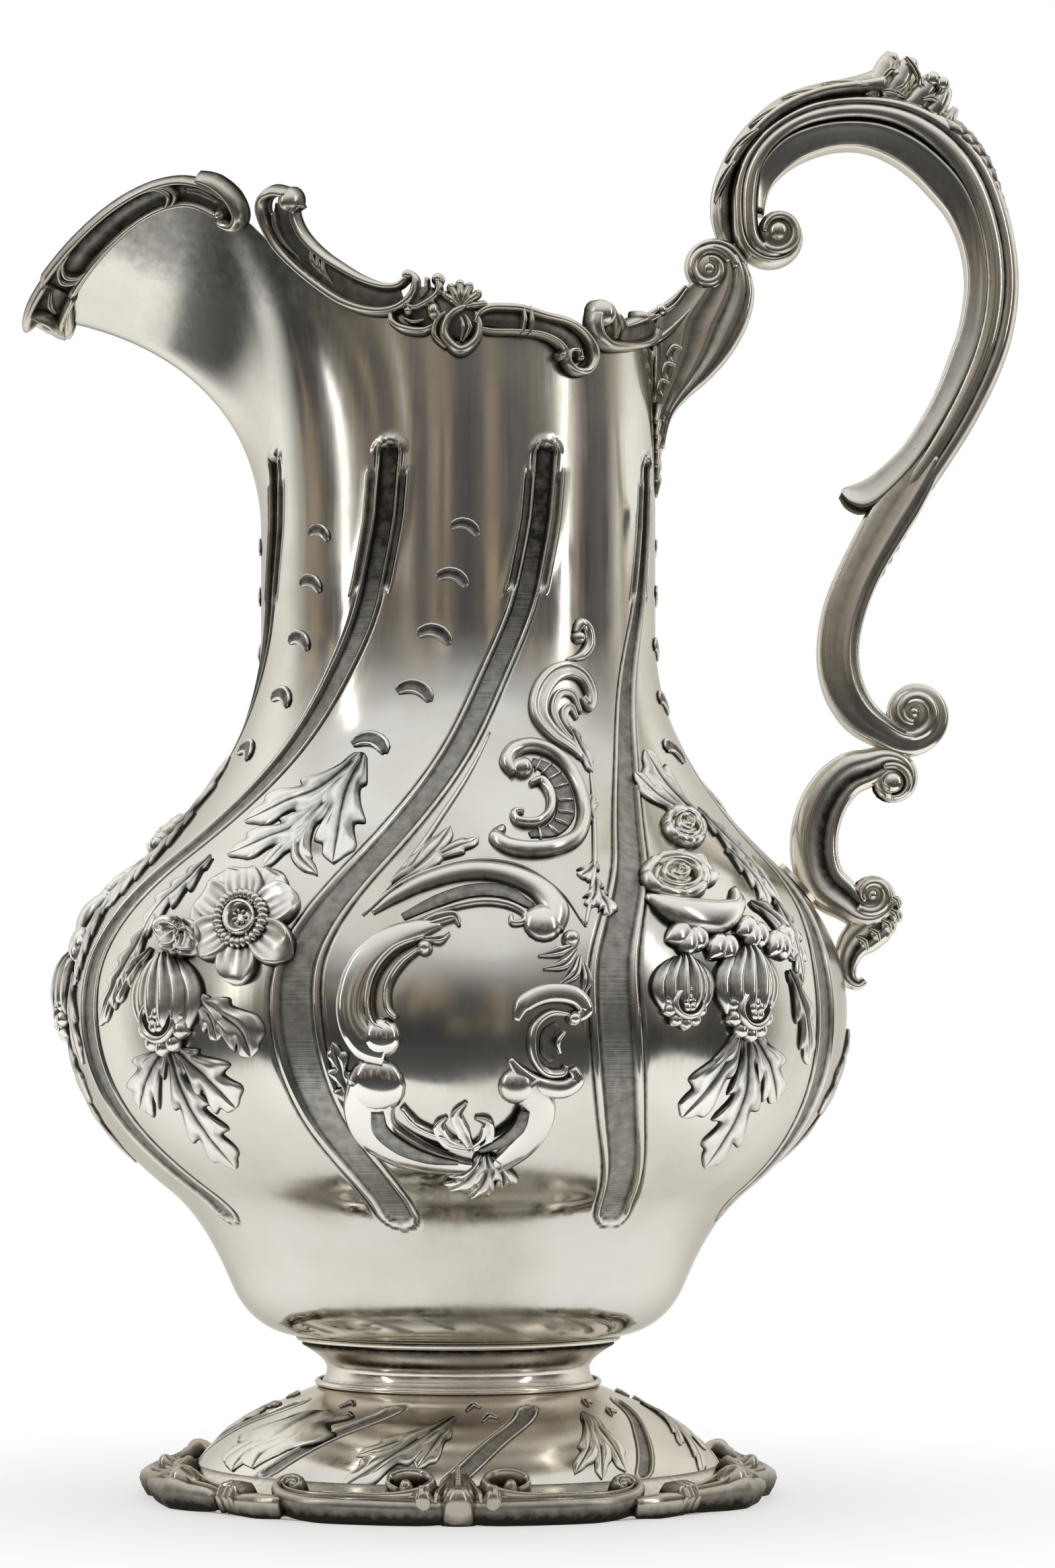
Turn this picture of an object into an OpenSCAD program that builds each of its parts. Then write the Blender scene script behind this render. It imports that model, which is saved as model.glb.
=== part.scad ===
// Rococo silver ewer: raised body in three sections, cast rim and scroll handle, domed foot with cast border.
// Millimetres. +Z is up and the origin is on the table, under the middle of the foot.
// The spout points to -X and the handle to +X. "near" is the -Y side, "far" the +Y side.

/* [Sheet and solder] */
// Thickness of the raised sheet
wall = 0.9; // [0.7:0.1:1.2]
// Solder film between two pieces
film = 0.1; // [0.05:0.05:0.3]
// Bedding between the sheet and the castings of the rim
bed = 0.35; // [0.3:0.05:0.5]

/* [Foot] */
// Height of the foot, table to bowl
foot_h = 39.5; // [37:0.5:44]
// Outer radius of the base ring
base_r = 76.5; // [74:0.5:80]
// Inner radius of the base ring
base_in_r = 60; // [56:0.5:62]
// Thickness of the base ring's ledge
ledge_t = 2.5; // [2:0.1:3.5]
// Radius of the dome at its lower edge
dome_r = 66; // [65:0.5:68]
// Height of the stem, from the dome to the bowl
stem_h = 12.5; // [11:0.5:13.5]
// Radius of the stem's waist
stem_r = 32.5; // [30:0.5:34]
// Radius of the flange under the bowl
flange_r = 40.2; // [38:0.2:43]
// Thickness of the flange
flange_t = 1.2; // [0.8:0.1:2]
// How far the wire stands out from the stem
wire_r = 0.8; // [0.5:0.1:1.2]

/* [Bowl] */
// Radius of the flat bottom
bottom_r = 38; // [36:0.5:41]
// Radius of the heel, where the bottom turns up
heel_r = 56; // [53:0.5:59]
// Height of the heel above the foot
heel_h = 12.5; // [10:0.5:15]
// Radius of the flare under the belly
flare_r = 71.5; // [68:0.5:75]
// Height of the flare above the foot
flare_h = 36; // [33:0.5:39]
// Widest radius of the bowl
belly_r = 96; // [92:0.5:101]
// Height of the belly seam above the foot
belly_h = 79.5; // [76:0.5:84]
// Radius of the shoulder, where the curve turns hollow
shoulder_r = 77.5; // [74:0.5:80]
// Height of the shoulder above the foot
shoulder_h = 117; // [113:0.5:121]
// Height of the neck seam above the foot
seam_h = 173.5; // [168:0.5:180]

/* [Neck and spout] */
// Radius of the neck
neck_r = 48.8; // [46:0.2:51]
// Height of the throat above the neck seam
throat_h = 24; // [18:1:30]
// Height of the rim at the handle above the neck seam
rim_h = 68; // [64:0.5:73]
// How far the mouth draws in from the neck
mouth_in = 0.6; // [0:0.1:2]
// How far the spout reaches past the mouth
spout_reach = 54.5; // [48:0.5:60]
// Spread of the spout, in degrees to either side
spout_spread = 30.7; // [27:0.1:34]
// Rise of the rim at the spout's crests
crest_lift = 36; // [31:0.5:41]
// Where the crests stand, in degrees from the spout
crest_at = 26; // [23:0.5:29]
// How fast the rim falls behind the crests, in degrees
crest_fall = 18; // [15:0.5:21]
// Rise of the rim at the spout's tip
tip_lift = 10; // [7:0.5:13]

/* [Rim castings] */
// Half width of the lip moulding
lip_w = 4.2; // [3.2:0.1:5]
// How far the lip moulding stands out
lip_t = 3.2; // [2.4:0.1:4]
// Half width of the rim scrolls
scroll_w = 4.4; // [3.4:0.1:5]
// How far the rim scrolls stand out
scroll_t = 4; // [3:0.1:5]
// Reach of the shell's lobes
shell_reach = 9; // [7:0.5:10]

/* [Border of the foot] */
// Half width of the border scrolls
border_w = 2.4; // [1.8:0.1:3]
// How far the border scrolls stand out
border_t = 3.2; // [2.4:0.1:4]
// Height of a husk, along the slope
husk_h = 14; // [12:0.5:15]
// Half width of a husk at its foot
husk_w = 4.5; // [3.5:0.1:5.5]

/* [Handle] */
// Depth of the arch, side to side
arch_d = 14; // [11:0.5:17]
// Thickness of the handle at the arch
arch_t = 12.8; // [11.6:0.2:13.6]
// Casting thickness of the hollow arch
cast_t = 1.4; // [1:0.1:2]
// Thickness of the strap that closes the arch
strap_t = 4.8; // [4:0.1:5.2]
// Diameter of the vent hole
vent_d = 1.4; // [1:0.1:2]
// Depth of the lower scrolls, side to side
scroll_d = 12; // [10:0.5:14]
// Thickness of the foot scroll
foot_scroll_t = 11; // [9:0.2:12]
// Height of the handle's seat on the rim above its solder pad on the shoulder
handle_h = 131; // [127:0.5:134]
// Radius of the solder pad
pad_r = 7; // [5.5:0.1:8]
// Thickness of the solder pad
pad_t = 1.2; // [0.8:0.1:2]
// Thickness of the thumb leaf
leaf_t = 3.6; // [2.6:0.2:4.6]
// Height of the thumb crest
crest_t = 13; // [10:0.5:14]
// Height of the leaf on the arch's spine
spine_t = 1.8; // [1.2:0.1:2.4]

/* [Hidden] */
silver = [0.82, 0.81, 0.78];
cast = [0.74, 0.72, 0.67];
dome_h = foot_h - stem_h;
seam_z = foot_h + seam_h;
throat_z = seam_z + throat_h;
rim_z0 = seam_z + rim_h;
pad_z = rim_z0 - handle_h;
mouth_r = neck_r - mouth_in;
dome_curve = [[dome_r, ledge_t + film], [dome_r, dome_h * 0.45], [dome_r - 16.5, dome_h - 5.5],
              [stem_r + 2, dome_h]];
stem_top = foot_h - flange_t - film - wall;
stem_curve = [[stem_r + 2, dome_h + film], [stem_r - 1, dome_h + 0.32 * stem_h],
              [stem_r - 1.4, stem_top - 0.36 * stem_h], [flange_r - 1.5, stem_top]];
heel_curve = [[bottom_r, 0], [bottom_r + 9, 0], [heel_r - 3.2, heel_h - 7.4], [heel_r, heel_h]];
flare_curve = [[heel_r, heel_h], [heel_r + 3.8, heel_h + 9.2], [flare_r - 7, flare_h - 5.6],
               [flare_r, flare_h]];
belly_curve = [[flare_r, flare_h], [flare_r + 14, flare_h + 11], [belly_r, belly_h - 19],
               [belly_r, belly_h]];
round_curve = [[belly_r, belly_h], [belly_r, belly_h + 18], [shoulder_r + 9, shoulder_h - 8.3],
               [shoulder_r, shoulder_h]];
sweep_curve = [[shoulder_r, shoulder_h], [shoulder_r - 12.4, shoulder_h + 11.5], [neck_r, seam_h - 28],
               [neck_r, seam_h]];
bowl_table = [for (c = [flare_curve, belly_curve, round_curve, sweep_curve]) for (t = [0:0.05:1])
    [bez(c, t)[1], bez(c, t)[0]]];
pad_x = bowl_x(pad_z);
half_round = [[-1, 0], [-0.85, 0.55], [-0.35, 0.95], [0.35, 0.95], [0.85, 0.55], [1, 0]];
channel = [[-1, 0], [-0.95, 0.75], [-0.65, 1], [-0.35, 0.55], [0.35, 0.55], [0.65, 1], [0.95, 0.75],
           [1, 0]];
rounded = [[-1, -0.7], [-1, 0.7], [-0.6, 1], [0.6, 1], [1, 0.7], [1, -0.7], [0.6, -1], [-0.6, -1]];
kite = [[-1, -0.25], [-0.8, 0.55], [-0.3, 1], [0.3, 1], [0.8, 0.55], [1, -0.25], [0.5, -1], [-0.5, -1]];

// Curves
function bez(c, t) = let (u = 1 - t)
    u * u * u * c[0] + 3 * t * u * u * c[1] + 3 * t * t * u * c[2] + t * t * t * c[3];
function slope(c, t) = let (u = 1 - t)
    3 * u * u * (c[1] - c[0]) + 6 * t * u * (c[2] - c[1]) + 3 * t * t * (c[3] - c[2]);
function unit(v) = v / norm(v);
function left_of(v) = [-v[1], v[0]];
function hermite(a, b, c, d, t) = 0.5 * (2 * b + (c - a) * t + (2 * a - 5 * b + 4 * c - d) * t * t
                                  + (3 * b - a - 3 * c + d) * t * t * t);
function spline(p, n) = let (m = len(p) - 1)
    [for (i = [0:m - 1]) let (before = i == 0 ? 2 * p[0] - p[1] : p[i - 1],
                              after = i == m - 1 ? 2 * p[m] - p[m - 1] : p[i + 2])
        for (k = [0:n - 1]) hermite(before, p[i], p[i + 1], after, k / n),
     p[m]];
function spiral(c, a0, a1, r0, r1, n) =
    [for (i = [0:n]) let (a = a0 + (a1 - a0) * i / n) c + r0 * pow(r1 / r0, i / n) * [cos(a), sin(a)]];
function shrink(v0, v1, n) = [for (i = [0:n]) v0 * pow(v1 / v0, i / n)];
function backwards(p) = [for (i = [len(p) - 1:-1:0]) p[i]];
function slice(p, a, b) = [for (i = [a:b]) p[i]];
function spread(values, n) = let (m = len(values) - 1)
    [for (i = [0:n - 1]) let (x = i * m / (n - 1), k = min(floor(x), m - 1))
        values[k] + (values[k + 1] - values[k]) * (x - k)];

// A sheet of constant thickness along a run of curves, turned about the axis
function outside(curves, n) = [for (c = curves) for (i = [0:n]) bez(c, i / n)];
function inside(curves, n) = [for (c = curves) for (i = [0:n])
    bez(c, i / n) + wall * left_of(unit(slope(c, i / n)))];
function tidy(p) = [for (i = [0:len(p) - 1]) if (i == 0 || norm(p[i] - p[i - 1]) > 0.05) p[i]];

module turned(curves, n) {
    rotate_extrude($fn = 96)
        polygon(concat(tidy(outside(curves, n)), backwards(tidy(inside(curves, n)))));
}

// A skin over rings of points, closed at both ends by the faces in ends
function whole(m) = [[for (j = [0:m - 1]) j]];
function shifted(faces, by) = [for (f = faces) [for (j = f) j + by]];

module skin(rings, ends) {
    m = len(rings[0]);
    last = len(rings) - 1;
    polyhedron([for (r = rings) for (p = r) p],
        concat([for (f = ends) backwards(f)],
               [for (i = [0:last - 1]) for (j = [0:m - 1]) let (k = (j + 1) % m)
                   each [[i * m + j, (i + 1) * m + k, (i + 1) * m + j],
                         [i * m + j, i * m + k, (i + 1) * m + k]]],
               shifted(ends, last * m)), convexity = 10);
}

// A casting in the plane of the handle, between two offsets from its path
// Section points are [side, out], each from -1 to 1
function along(p, i) = unit(p[min(i + 1, len(p) - 1)] - p[max(i - 1, 0)]);
function between(lo, hi, x) = (lo + hi) / 2 + x * (hi - lo) / 2;
function halved(values, sign) = [for (v = values) sign * v / 2];

module plane_cast(p, lo, hi, deep, section) {
    skin([for (i = [0:len(p) - 1]) let (o = left_of(along(p, i)))
        [for (s = section) let (q = p[i] + o * between(lo[i], hi[i], s[1]))
            [q[0], s[0] * deep[i] / 2, q[1]]]],
         whole(len(section)));
}

// The spout and the rim, by the angle from -X; positive angles are on the near side
function flow(a) = exp(-pow(abs(a) / spout_spread, 1.7));
function rim_r(a) = mouth_r + spout_reach * flow(a);
function rise(a) = abs(a) < crest_at
    ? tip_lift + (crest_lift - tip_lift) * pow(sin(90 * abs(a) / crest_at), 1.5)
    : crest_lift / (1 + pow((abs(a) - crest_at) / crest_fall, 2));
function rim_z(a) = rim_z0 + rise(a);
function meridian(a) = let (f = flow(a), r = rim_r(a), z = rim_z(a), h = z - throat_z)
    [[neck_r, throat_z], [neck_r, throat_z + 0.54 * h],
     [r - 0.63 * (r - neck_r), z - h * (0.35 - 0.26 * f)], [r, z]];
function polar(a, rz) = [-rz[0] * cos(a), -rz[0] * sin(a), rz[1]];
function neck_at(a, t) = polar(a, bez(meridian(a), t));
function neck_out(a, t) = let (u = min(t, 0.98))
    unit(cross(neck_at(a + 0.2, t) - neck_at(a - 0.2, t), neck_at(a, u + 0.02) - neck_at(a, u)));

// A place on the rim: up is along the wall, out is away from it
function rim_frame(a) = let (l = unit(neck_at(a + 0.2, 1) - neck_at(a - 0.2, 1)), n = neck_out(a, 1))
    [l, n, cross(n, l)];
function on_rim(a, up) = neck_at(a, 1) + up * rim_frame(a)[2] + bed * rim_frame(a)[1];
function rim_mm(a) = norm(neck_at(a + 0.5, 1) - neck_at(a - 0.5, 1));

// A place on the sloping face of the base ring, by the angle from the front
fascia_top = bez(dome_curve, 0.2) + [0.8, 0];
fascia_foot = [base_r, 1.2];
fascia_up = unit(fascia_top - fascia_foot);
function round_at(a, rz) = [rz[0] * sin(a), -rz[0] * cos(a), rz[1]];
function border_out(a) = round_at(a, -left_of(fascia_up));
function on_border(a, up) = round_at(a, fascia_foot + up * fascia_up - film * left_of(fascia_up));
border_mm = base_r * PI / 180;

// A casting laid on a surface: places and outward directions along its path
module laid(places, outs, w, t, section) {
    last = len(places) - 1;
    skin([for (i = [0:last]) let (d = unit(places[min(i + 1, last)] - places[max(i - 1, 0)]),
                                  n = unit(outs[i]), s = unit(cross(n, d)))
        [for (q = section) places[i] + s * q[0] * w[i] + n * q[1] * t[i]]], whole(len(section)));
}

module on_rim_cast(path, w, t, section, side) {
    laid([for (p = path) on_rim(side * p[0], p[1])], [for (p = path) rim_frame(side * p[0])[1]], w, t,
         section);
}

module on_border_cast(path, w, t, section) {
    laid([for (p = path) on_border(p[0], p[1])], [for (p = path) border_out(p[0])], w, t, section);
}

// Foot
module base_ring() {
    color(cast)
        rotate_extrude($fn = 96)
            polygon(concat([[base_in_r, 0], [base_r, 0], fascia_foot, fascia_top],
                           [for (t = [0.2:-0.05:0.05]) bez(dome_curve, t) + [2 * film, 0]],
                           [[dome_r + 2 * film, ledge_t], [base_in_r, ledge_t]]));
}

module foot_dome() {
    color(silver)
        turned([dome_curve], 14);
}

module foot_stem() {
    color(silver)
        turned([stem_curve], 12);
}

module stem_wire() {
    color(silver)
        rotate_extrude($fn = 96)
            polygon([for (a = [-90:15:90])
                [stem_r + 2.2 + wire_r * cos(a), dome_h + film + wire_r * (1 + sin(a))]]);
}

module foot_flange() {
    color(silver)
        rotate_extrude($fn = 96)
            polygon([[stem_r, foot_h - flange_t], [flange_r - 0.4, foot_h - flange_t],
                     [flange_r, foot_h - flange_t * 0.6], [flange_r, foot_h - flange_t * 0.25],
                     [flange_r - 0.3, foot_h], [stem_r, foot_h]]);
}

// Border of the foot
module husk(a) {
    n = 8;
    color(cast)
        on_border_cast([for (i = [0:n]) [a, 0.4 + husk_h * i / n]],
                       spread([0.75, 1, 0.85, 0.6, 0.35] * husk_w, n + 1),
                       spread([1, 1.5, 1.2, 0.9, 0.5] * border_t, n + 1), half_round);
}

// A long scroll from the volute beside a husk to the volute beside a collar
module border_scroll(a, turn) {
    start = spiral([12 * border_mm, 8.2], -400, -90, 2.2, 5.2, 12);
    end = spiral([37 * border_mm, 8.6], -90, 220, 4.6, 2, 12);
    run = [[17 * border_mm, 2.5], [24 * border_mm, 2.6], [31 * border_mm, 3]];
    path = concat(start, run, end);
    n = len(path);
    color(cast)
        on_border_cast([for (p = path) [a + turn * p[0] / border_mm, p[1]]],
                       spread([0.35, 0.7, 1, 1, 0.9, 0.6, 0.35] * border_w, n),
                       spread([0.8, 1, 1.1, 1, 1, 0.9, 0.8] * border_t, n), half_round);
}

module collar(a) {
    n = 6;
    color(cast)
        on_border_cast([for (i = [0:n]) [a, 0.6 + 12 * i / n]], spread([0.95, 1.3, 1.1] * border_w, n + 1),
                       spread([0.8, 1.5, 0.8] * border_t, n + 1), channel);
}

module lobe(a) {
    n = 8;
    color(cast)
        on_border_cast([for (i = [0:n]) [a, 0.6 + 12 * i / n]],
                       spread([0.9, 2, 1.9, 1.3, 0.4] * border_w, n + 1),
                       spread([0.7, 1.4, 1.5, 1.2, 0.5] * border_t, n + 1), half_round);
}

module loop(a) {
    end = spiral([15 * border_mm, 8.8], -90, 220, 4.8, 2, 12);
    start = [for (p = backwards(end)) [-p[0], p[1]]];
    path = concat(start, [[-7 * border_mm, 3.2], [0, 2.6], [7 * border_mm, 3.2]], end);
    n = len(path);
    color(cast)
        on_border_cast([for (p = path) [a + p[0] / border_mm, p[1]]],
                       spread([0.35, 0.7, 1, 1, 1, 0.7, 0.35] * border_w, n),
                       spread([0.8, 1, 1.1, 1.1, 1.1, 1, 0.8] * border_t, n), half_round);
}

// Bowl
function lift(c) = [for (p = c) p + [0, foot_h]];
function bowl_x(z) = lookup(z - foot_h, bowl_table);
function bowl_out(z) = unit([6, bowl_x(z - 3) - bowl_x(z + 3)]);

module bowl_lower() {
    curves = [lift(heel_curve), lift(flare_curve), lift(belly_curve)];
    color(silver)
        rotate_extrude($fn = 96)
            polygon(concat([[0, foot_h]], tidy(outside(curves, 9)), backwards(tidy(inside(curves, 9))),
                           [[0, foot_h + wall]]));
}

module bowl_shoulder() {
    color(silver)
        turned([lift(round_curve), lift(sweep_curve)], 11);
}

// Neck and spout
module neck() {
    steps = 96;
    rows = 13;
    angles = [for (i = [0:steps - 1]) let (a = 360 * i / steps - 180) a + 14 * sin(a)];
    levels = [for (k = [0:rows]) k / rows];
    outer = concat([[for (a = angles) polar(a, [neck_r, seam_z])]],
                   [for (t = levels) [for (a = angles) neck_at(a, t)]]);
    inner = concat([[for (a = angles) polar(a, [neck_r - wall, seam_z])]],
                   [for (t = levels) [for (a = angles) neck_at(a, t) - wall * neck_out(a, t)]]);
    rings = concat(outer, backwards(inner), [outer[0]]);
    count = len(rings) - 1;
    color(silver)
        polyhedron([for (i = [0:count - 1]) each rings[i]],
            [for (i = [0:count - 1]) for (j = [0:steps - 1])
                let (k = (j + 1) % steps, u = i * steps, v = ((i + 1) % count) * steps)
                each [[u + j, v + k, u + k], [u + j, v + j, v + k]]], convexity = 10);
}

// Rim castings
module lip(side) {
    n = 16;
    color(cast)
        on_rim_cast([for (i = [0:n]) [7 + 27 * i / n, 0]], spread([1.15, 1, 0.9, 0.85, 0.9] * lip_w, n + 1),
                    spread([1, 1, 1, 1, 0.8] * lip_t, n + 1), channel, side);
}

module lip_tip() {
    n = 8;
    color(cast)
        on_rim_cast([for (i = [0:n]) [-6.6 + 13.2 * i / n, -0.5]], spread([1.15, 1.35, 1.15] * lip_w, n + 1),
                    spread([1, 1.15, 1] * lip_t, n + 1), channel, 1);
}

module front_scroll(side) {
    m = rim_mm(41);
    start = [for (p = spiral([0, 0], 400, 200, 1.8, 4.6, 8)) [41 + p[0] / m, 12.3 + p[1]]];
    q = rim_mm(66);
    end = [for (p = spiral([0, 0], -90, 150, 4, 1.8, 8)) [66 + p[0] / q, 5.2 + p[1]]];
    path = concat(start, [[38.6, 7.3], [40.4, 3.8], [44, 2.2], [49, 1.6], [54, 1.3], [59, 1.2]], end);
    n = len(path);
    color(cast)
        on_rim_cast(path, spread([0.4, 0.7, 0.85, 1, 1, 0.95, 0.65, 0.4] * scroll_w, n),
                    spread([0.9, 1, 1, 1, 1, 1, 1, 0.9] * scroll_t, n), channel, side);
}

module shell(side) {
    m = rim_mm(86);
    color(cast)
        for (a = [35:27.5:145])
            on_rim_cast([for (i = [0:6]) let (r = 1 + shell_reach * i / 6)
                            [86 + r * cos(a) / m, -4 + r * sin(a)]],
                        spread([1, 2.6, 1.8], 7), spread([1, 1.2, 0.8] * scroll_t, 7), half_round, side);
}

module rear_scroll(side) {
    m = rim_mm(126);
    end = [for (p = spiral([0, 0], 70, -330, 5.6, 1.6, 16)) [125 + p[0] / m, -5 + p[1]]];
    path = concat([[99, -0.4], [103, 0.6], [108, 1.2], [113, 1.4], [118, 1.4]], end);
    n = len(path);
    color(cast)
        on_rim_cast(path, spread([0.5, 0.8, 0.85, 0.8, 0.6, 0.42, 0.3] * scroll_w, n),
                    spread([0.8, 1, 1, 1, 1, 0.9, 0.8] * scroll_t, n), half_round, side);
}

module rear_volute(side) {
    path = spline([[136, 7], [136.4, 3.4], [140, -0.6], [147, -2.2], [155, -1.2], [162, 1.8], [168, 5]], 3);
    n = len(path);
    color(cast)
        on_rim_cast(path, spread([0.5, 0.75, 0.8, 0.8, 0.6] * scroll_w, n),
                    spread([1.1, 1, 1, 1, 0.8] * scroll_t, n), half_round, side);
}

// Handle: the upper castings follow the rim, the lower ones follow the solder pad
upper = [neck_r, rim_z0];
pad_out = bowl_out(pad_z);
pad_face = [pad_x, pad_z] + (film + pad_t) * pad_out;
// The foot scroll about its own origin, then moved out until it just meets the pad
top_eye = [21.6, 23.4];
low_eye = [16.6, -2];
foot_run = spline(concat([top_eye + 7.9 * [cos(153), sin(153)]],
                         [for (p = [[6.2, 21.4], [2.6, 13], [3.6, 2]]) p + [foot_scroll_t / 2 - 5.5, 0]],
                         [low_eye + 7.4 * [cos(190), sin(190)]]), 4);
foot_path = concat(spiral(top_eye, -190, 153, 2, 7.9, 20), slice(foot_run, 1, len(foot_run) - 1),
                   slice(spiral(low_eye, 190, 535, 7.4, 1.9, 20), 1, 20));
foot_thick = concat(shrink(2, 8, 20), spread([0.78, 0.94, 1, 0.94, 0.8] * foot_scroll_t, len(foot_run) - 1),
                    slice(shrink(0.78 * foot_scroll_t, 1.8, 20), 1, 20));
nearest = min([for (i = [0:len(foot_path) - 1]) for (k = [-0.5, 0.5])
    (foot_path[i] + k * foot_thick[i] * left_of(along(foot_path, i))) * pad_out]);
lower = pad_face + (film - nearest) * pad_out;

bracket_run = [for (p = [[20.2, 15], [18.6, 7.5], [13.9, -0.5], [8.4, -8], [4.6, -14.5]]) upper + p];
bracket_path = concat(spiral(upper + [12.3, 21.8], 372, 0, 2.2, 7.4, 20), spline(bracket_run, 3));
bracket_thick = concat(shrink(2, 6, 20), spread([6.8, 7, 6.6, 5.4, 4], 13));

module bracket() {
    n = len(bracket_path);
    color(cast) {
        plane_cast(bracket_path, halved(bracket_thick, -1), halved(bracket_thick, 1),
                   spread([8, 11, 11, 9], n), rounded);
        translate([0, 2.4, 0])
            rotate([90, 0, 0])
                linear_extrude(4.8)
                    polygon([for (p = [[film + 0.1, -12], [5.5, -12.5], [15, 1], [19.5, 9], [19, 15],
                                       [11, 15.5], [6.2, 11], [film + 0.1, 6]]) upper + p]);
    }
}

module bracket_leaf() {
    color(cast)
        hull() {
            for (p = [[0.2, -18.2, 5], [0.2, -24, 3.5], [0.2, -31, 0.8]])
                translate([upper[0] + p[0] + film, 0, upper[1] + p[1]])
                    rotate([0, 90, 0])
                        cylinder(h = 1.6, r = p[2], $fn = 16);
        }
}

arch_eye = upper + [30.6, 31.9];
arch_run = spline([for (p = [[22.3, 31.9], [22.6, 42], [29, 53], [50, 58.3], [68.9, 53], [77, 43.5],
                             [82.5, 27.2], [82.4, 12.3], [79.2, -1], [73.3, -14.3], [65.7, -27.7],
                             [61.5, -34.3]]) upper + p], 4);
coil_n = 22;
arch_path = concat(spiral(arch_eye, 540, 180, 2.3, 8.3, coil_n), slice(arch_run, 1, len(arch_run) - 1));
arch_n = len(arch_path);
run_n = arch_n - coil_n - 1;
arch_thick = concat(shrink(2.1, 8.6, coil_n),
                    spread([0.7, 0.84, 1, 1, 1, 1, 1, 1, 0.97, 0.93, 0.9] * arch_t, run_n));
arch_deep = concat(shrink(7, arch_d - 1, coil_n),
                   spread([0.96, 0.98, 1, 0.99, 0.98, 0.96, 0.93, 0.9] * arch_d, run_n));
// How much of the thickness the strap takes
share = concat([for (i = [0:coil_n]) 0],
               spread([0, 0.7, 1, 1, 1, 1, 1, 1, 1, 1, 1, 0.78, 0.4] * strap_t, run_n));
arch_lo = [for (i = [0:arch_n - 1]) share[i] - arch_thick[i] / 2];
arch_hi = halved(arch_thick, 1);

function hollow(d, t) = let (x = 1 - 2 * cast_t / d, y = 1 - 2 * cast_t / t)
    [[-1, -1], [-1, 0.1], [-0.75, 0.7], [-0.25, 1], [0.25, 1], [0.75, 0.7], [1, 0.1], [1, -1],
     [x, -1], [x, 0.1 * y], [0.75 * x, 0.7 * y], [0.25 * x, y], [-0.25 * x, y], [-0.75 * x, 0.7 * y],
     [-x, 0.1 * y], [-x, -1]];

module arch() {
    color(cast)
        skin([for (i = [0:arch_n - 1])
            let (o = left_of(along(arch_path, i)), d = arch_deep[i], t = arch_hi[i] - arch_lo[i])
            [for (s = hollow(max(d, 3.2 * cast_t), max(t, 3.2 * cast_t)))
                let (q = arch_path[i] + o * between(arch_lo[i], arch_hi[i], s[1]))
                [q[0], s[0] * d / 2, q[1]]]],
             [for (j = [0:6]) [j, j + 1, 14 - j, 15 - j]]);
}

strap_from = coil_n + 3;
strap_to = arch_n - 6;
spur = [for (p = [[62.2, -24], [57.2, -29.4], [52, -33.4], [47.2, -35.6]]) upper + p];
strap_path = concat([for (i = [strap_from:strap_to])
    arch_path[i] + left_of(along(arch_path, i)) * (arch_lo[i] - film - share[i] / 2)], spur);

module strap() {
    n = len(strap_path);
    k = n - 7;
    o = left_of(along(strap_path, k));
    thick = concat([for (i = [strap_from:strap_to]) share[i]], [1, 0.95, 0.92, 0.8] * strap_t);
    color(cast)
        difference() {
            plane_cast(strap_path, halved(thick, -1), halved(thick, 1),
                       concat([for (i = [strap_from:strap_to]) arch_deep[i]],
                              [0.85, 0.76, 0.64, 0.4] * arch_d),
                       [[-0.55, -1], [-1, 1], [1, 1], [0.55, -1]]);
            translate([strap_path[k][0], 0, strap_path[k][1]])
                rotate([0, 90 - atan2(o[1], o[0]), 0])
                    cylinder(h = 3 * strap_t, d = vent_d, center = true, $fn = 24);
        }
}

// Leaves that hug the outside of the arch
module hugging(first, thick, deep) {
    n = len(thick);
    color(cast)
        plane_cast(slice(arch_path, first, first + n - 1), [for (i = [0:n - 1]) arch_hi[first + i] + film],
                   [for (i = [0:n - 1]) arch_hi[first + i] + film + thick[i]], deep,
                   [[-1, -1], [-0.85, 0.1], [-0.35, 0.9], [0.35, 0.9], [0.85, 0.1], [1, -1]]);
}

leaf_n = 11;
module thumb_leaf() {
    hugging(coil_n + 1, spread([0.4, 0.9, 1, 1, 1.1, 1.4] * leaf_t, leaf_n),
            spread([0.35, 0.7, 0.85, 0.9, 0.95, 0.8] * arch_d, leaf_n));
}

module thumb_crest() {
    hugging(coil_n + 1 + leaf_n, [0.6, 0.95, 0.98, 0.74, 0.62, 0.4, 0.15] * crest_t,
            [0.8, 0.9, 0.9, 0.75, 0.8, 0.6, 0.4] * arch_d);
}

module spine_leaf() {
    hugging(coil_n + leaf_n + 8, spread([0.5, 1, 1, 1, 0.9, 0.6] * spine_t, 22),
            spread([0.4, 0.5, 0.45, 0.4, 0.3] * arch_d, 22));
}

joint = arch_path[arch_n - 1];
joint_dir = along(arch_path, arch_n - 1);
scroll_eye = lower + [26.6, 43.8];
// How far along the way from the volute's eye up to the joint, and how far out of that line
scroll_bend = [[0.66, -11.7], [0.415, -16.5], [0.258, -18.2], [0.129, -17.6], [0.004, -14.6]];
scroll_run = spline(concat([joint + film * joint_dir, joint + 8 * joint_dir],
                           [for (p = scroll_bend) scroll_eye + p[0] * (joint - scroll_eye) + [p[1], 0]],
                           [scroll_eye + 9.4 * [cos(216), sin(216)]]), 3);
scroll_path = concat(scroll_run, slice(spiral(scroll_eye, 216, 540, 9.4, 2.9, 20), 1, 20));

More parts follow.
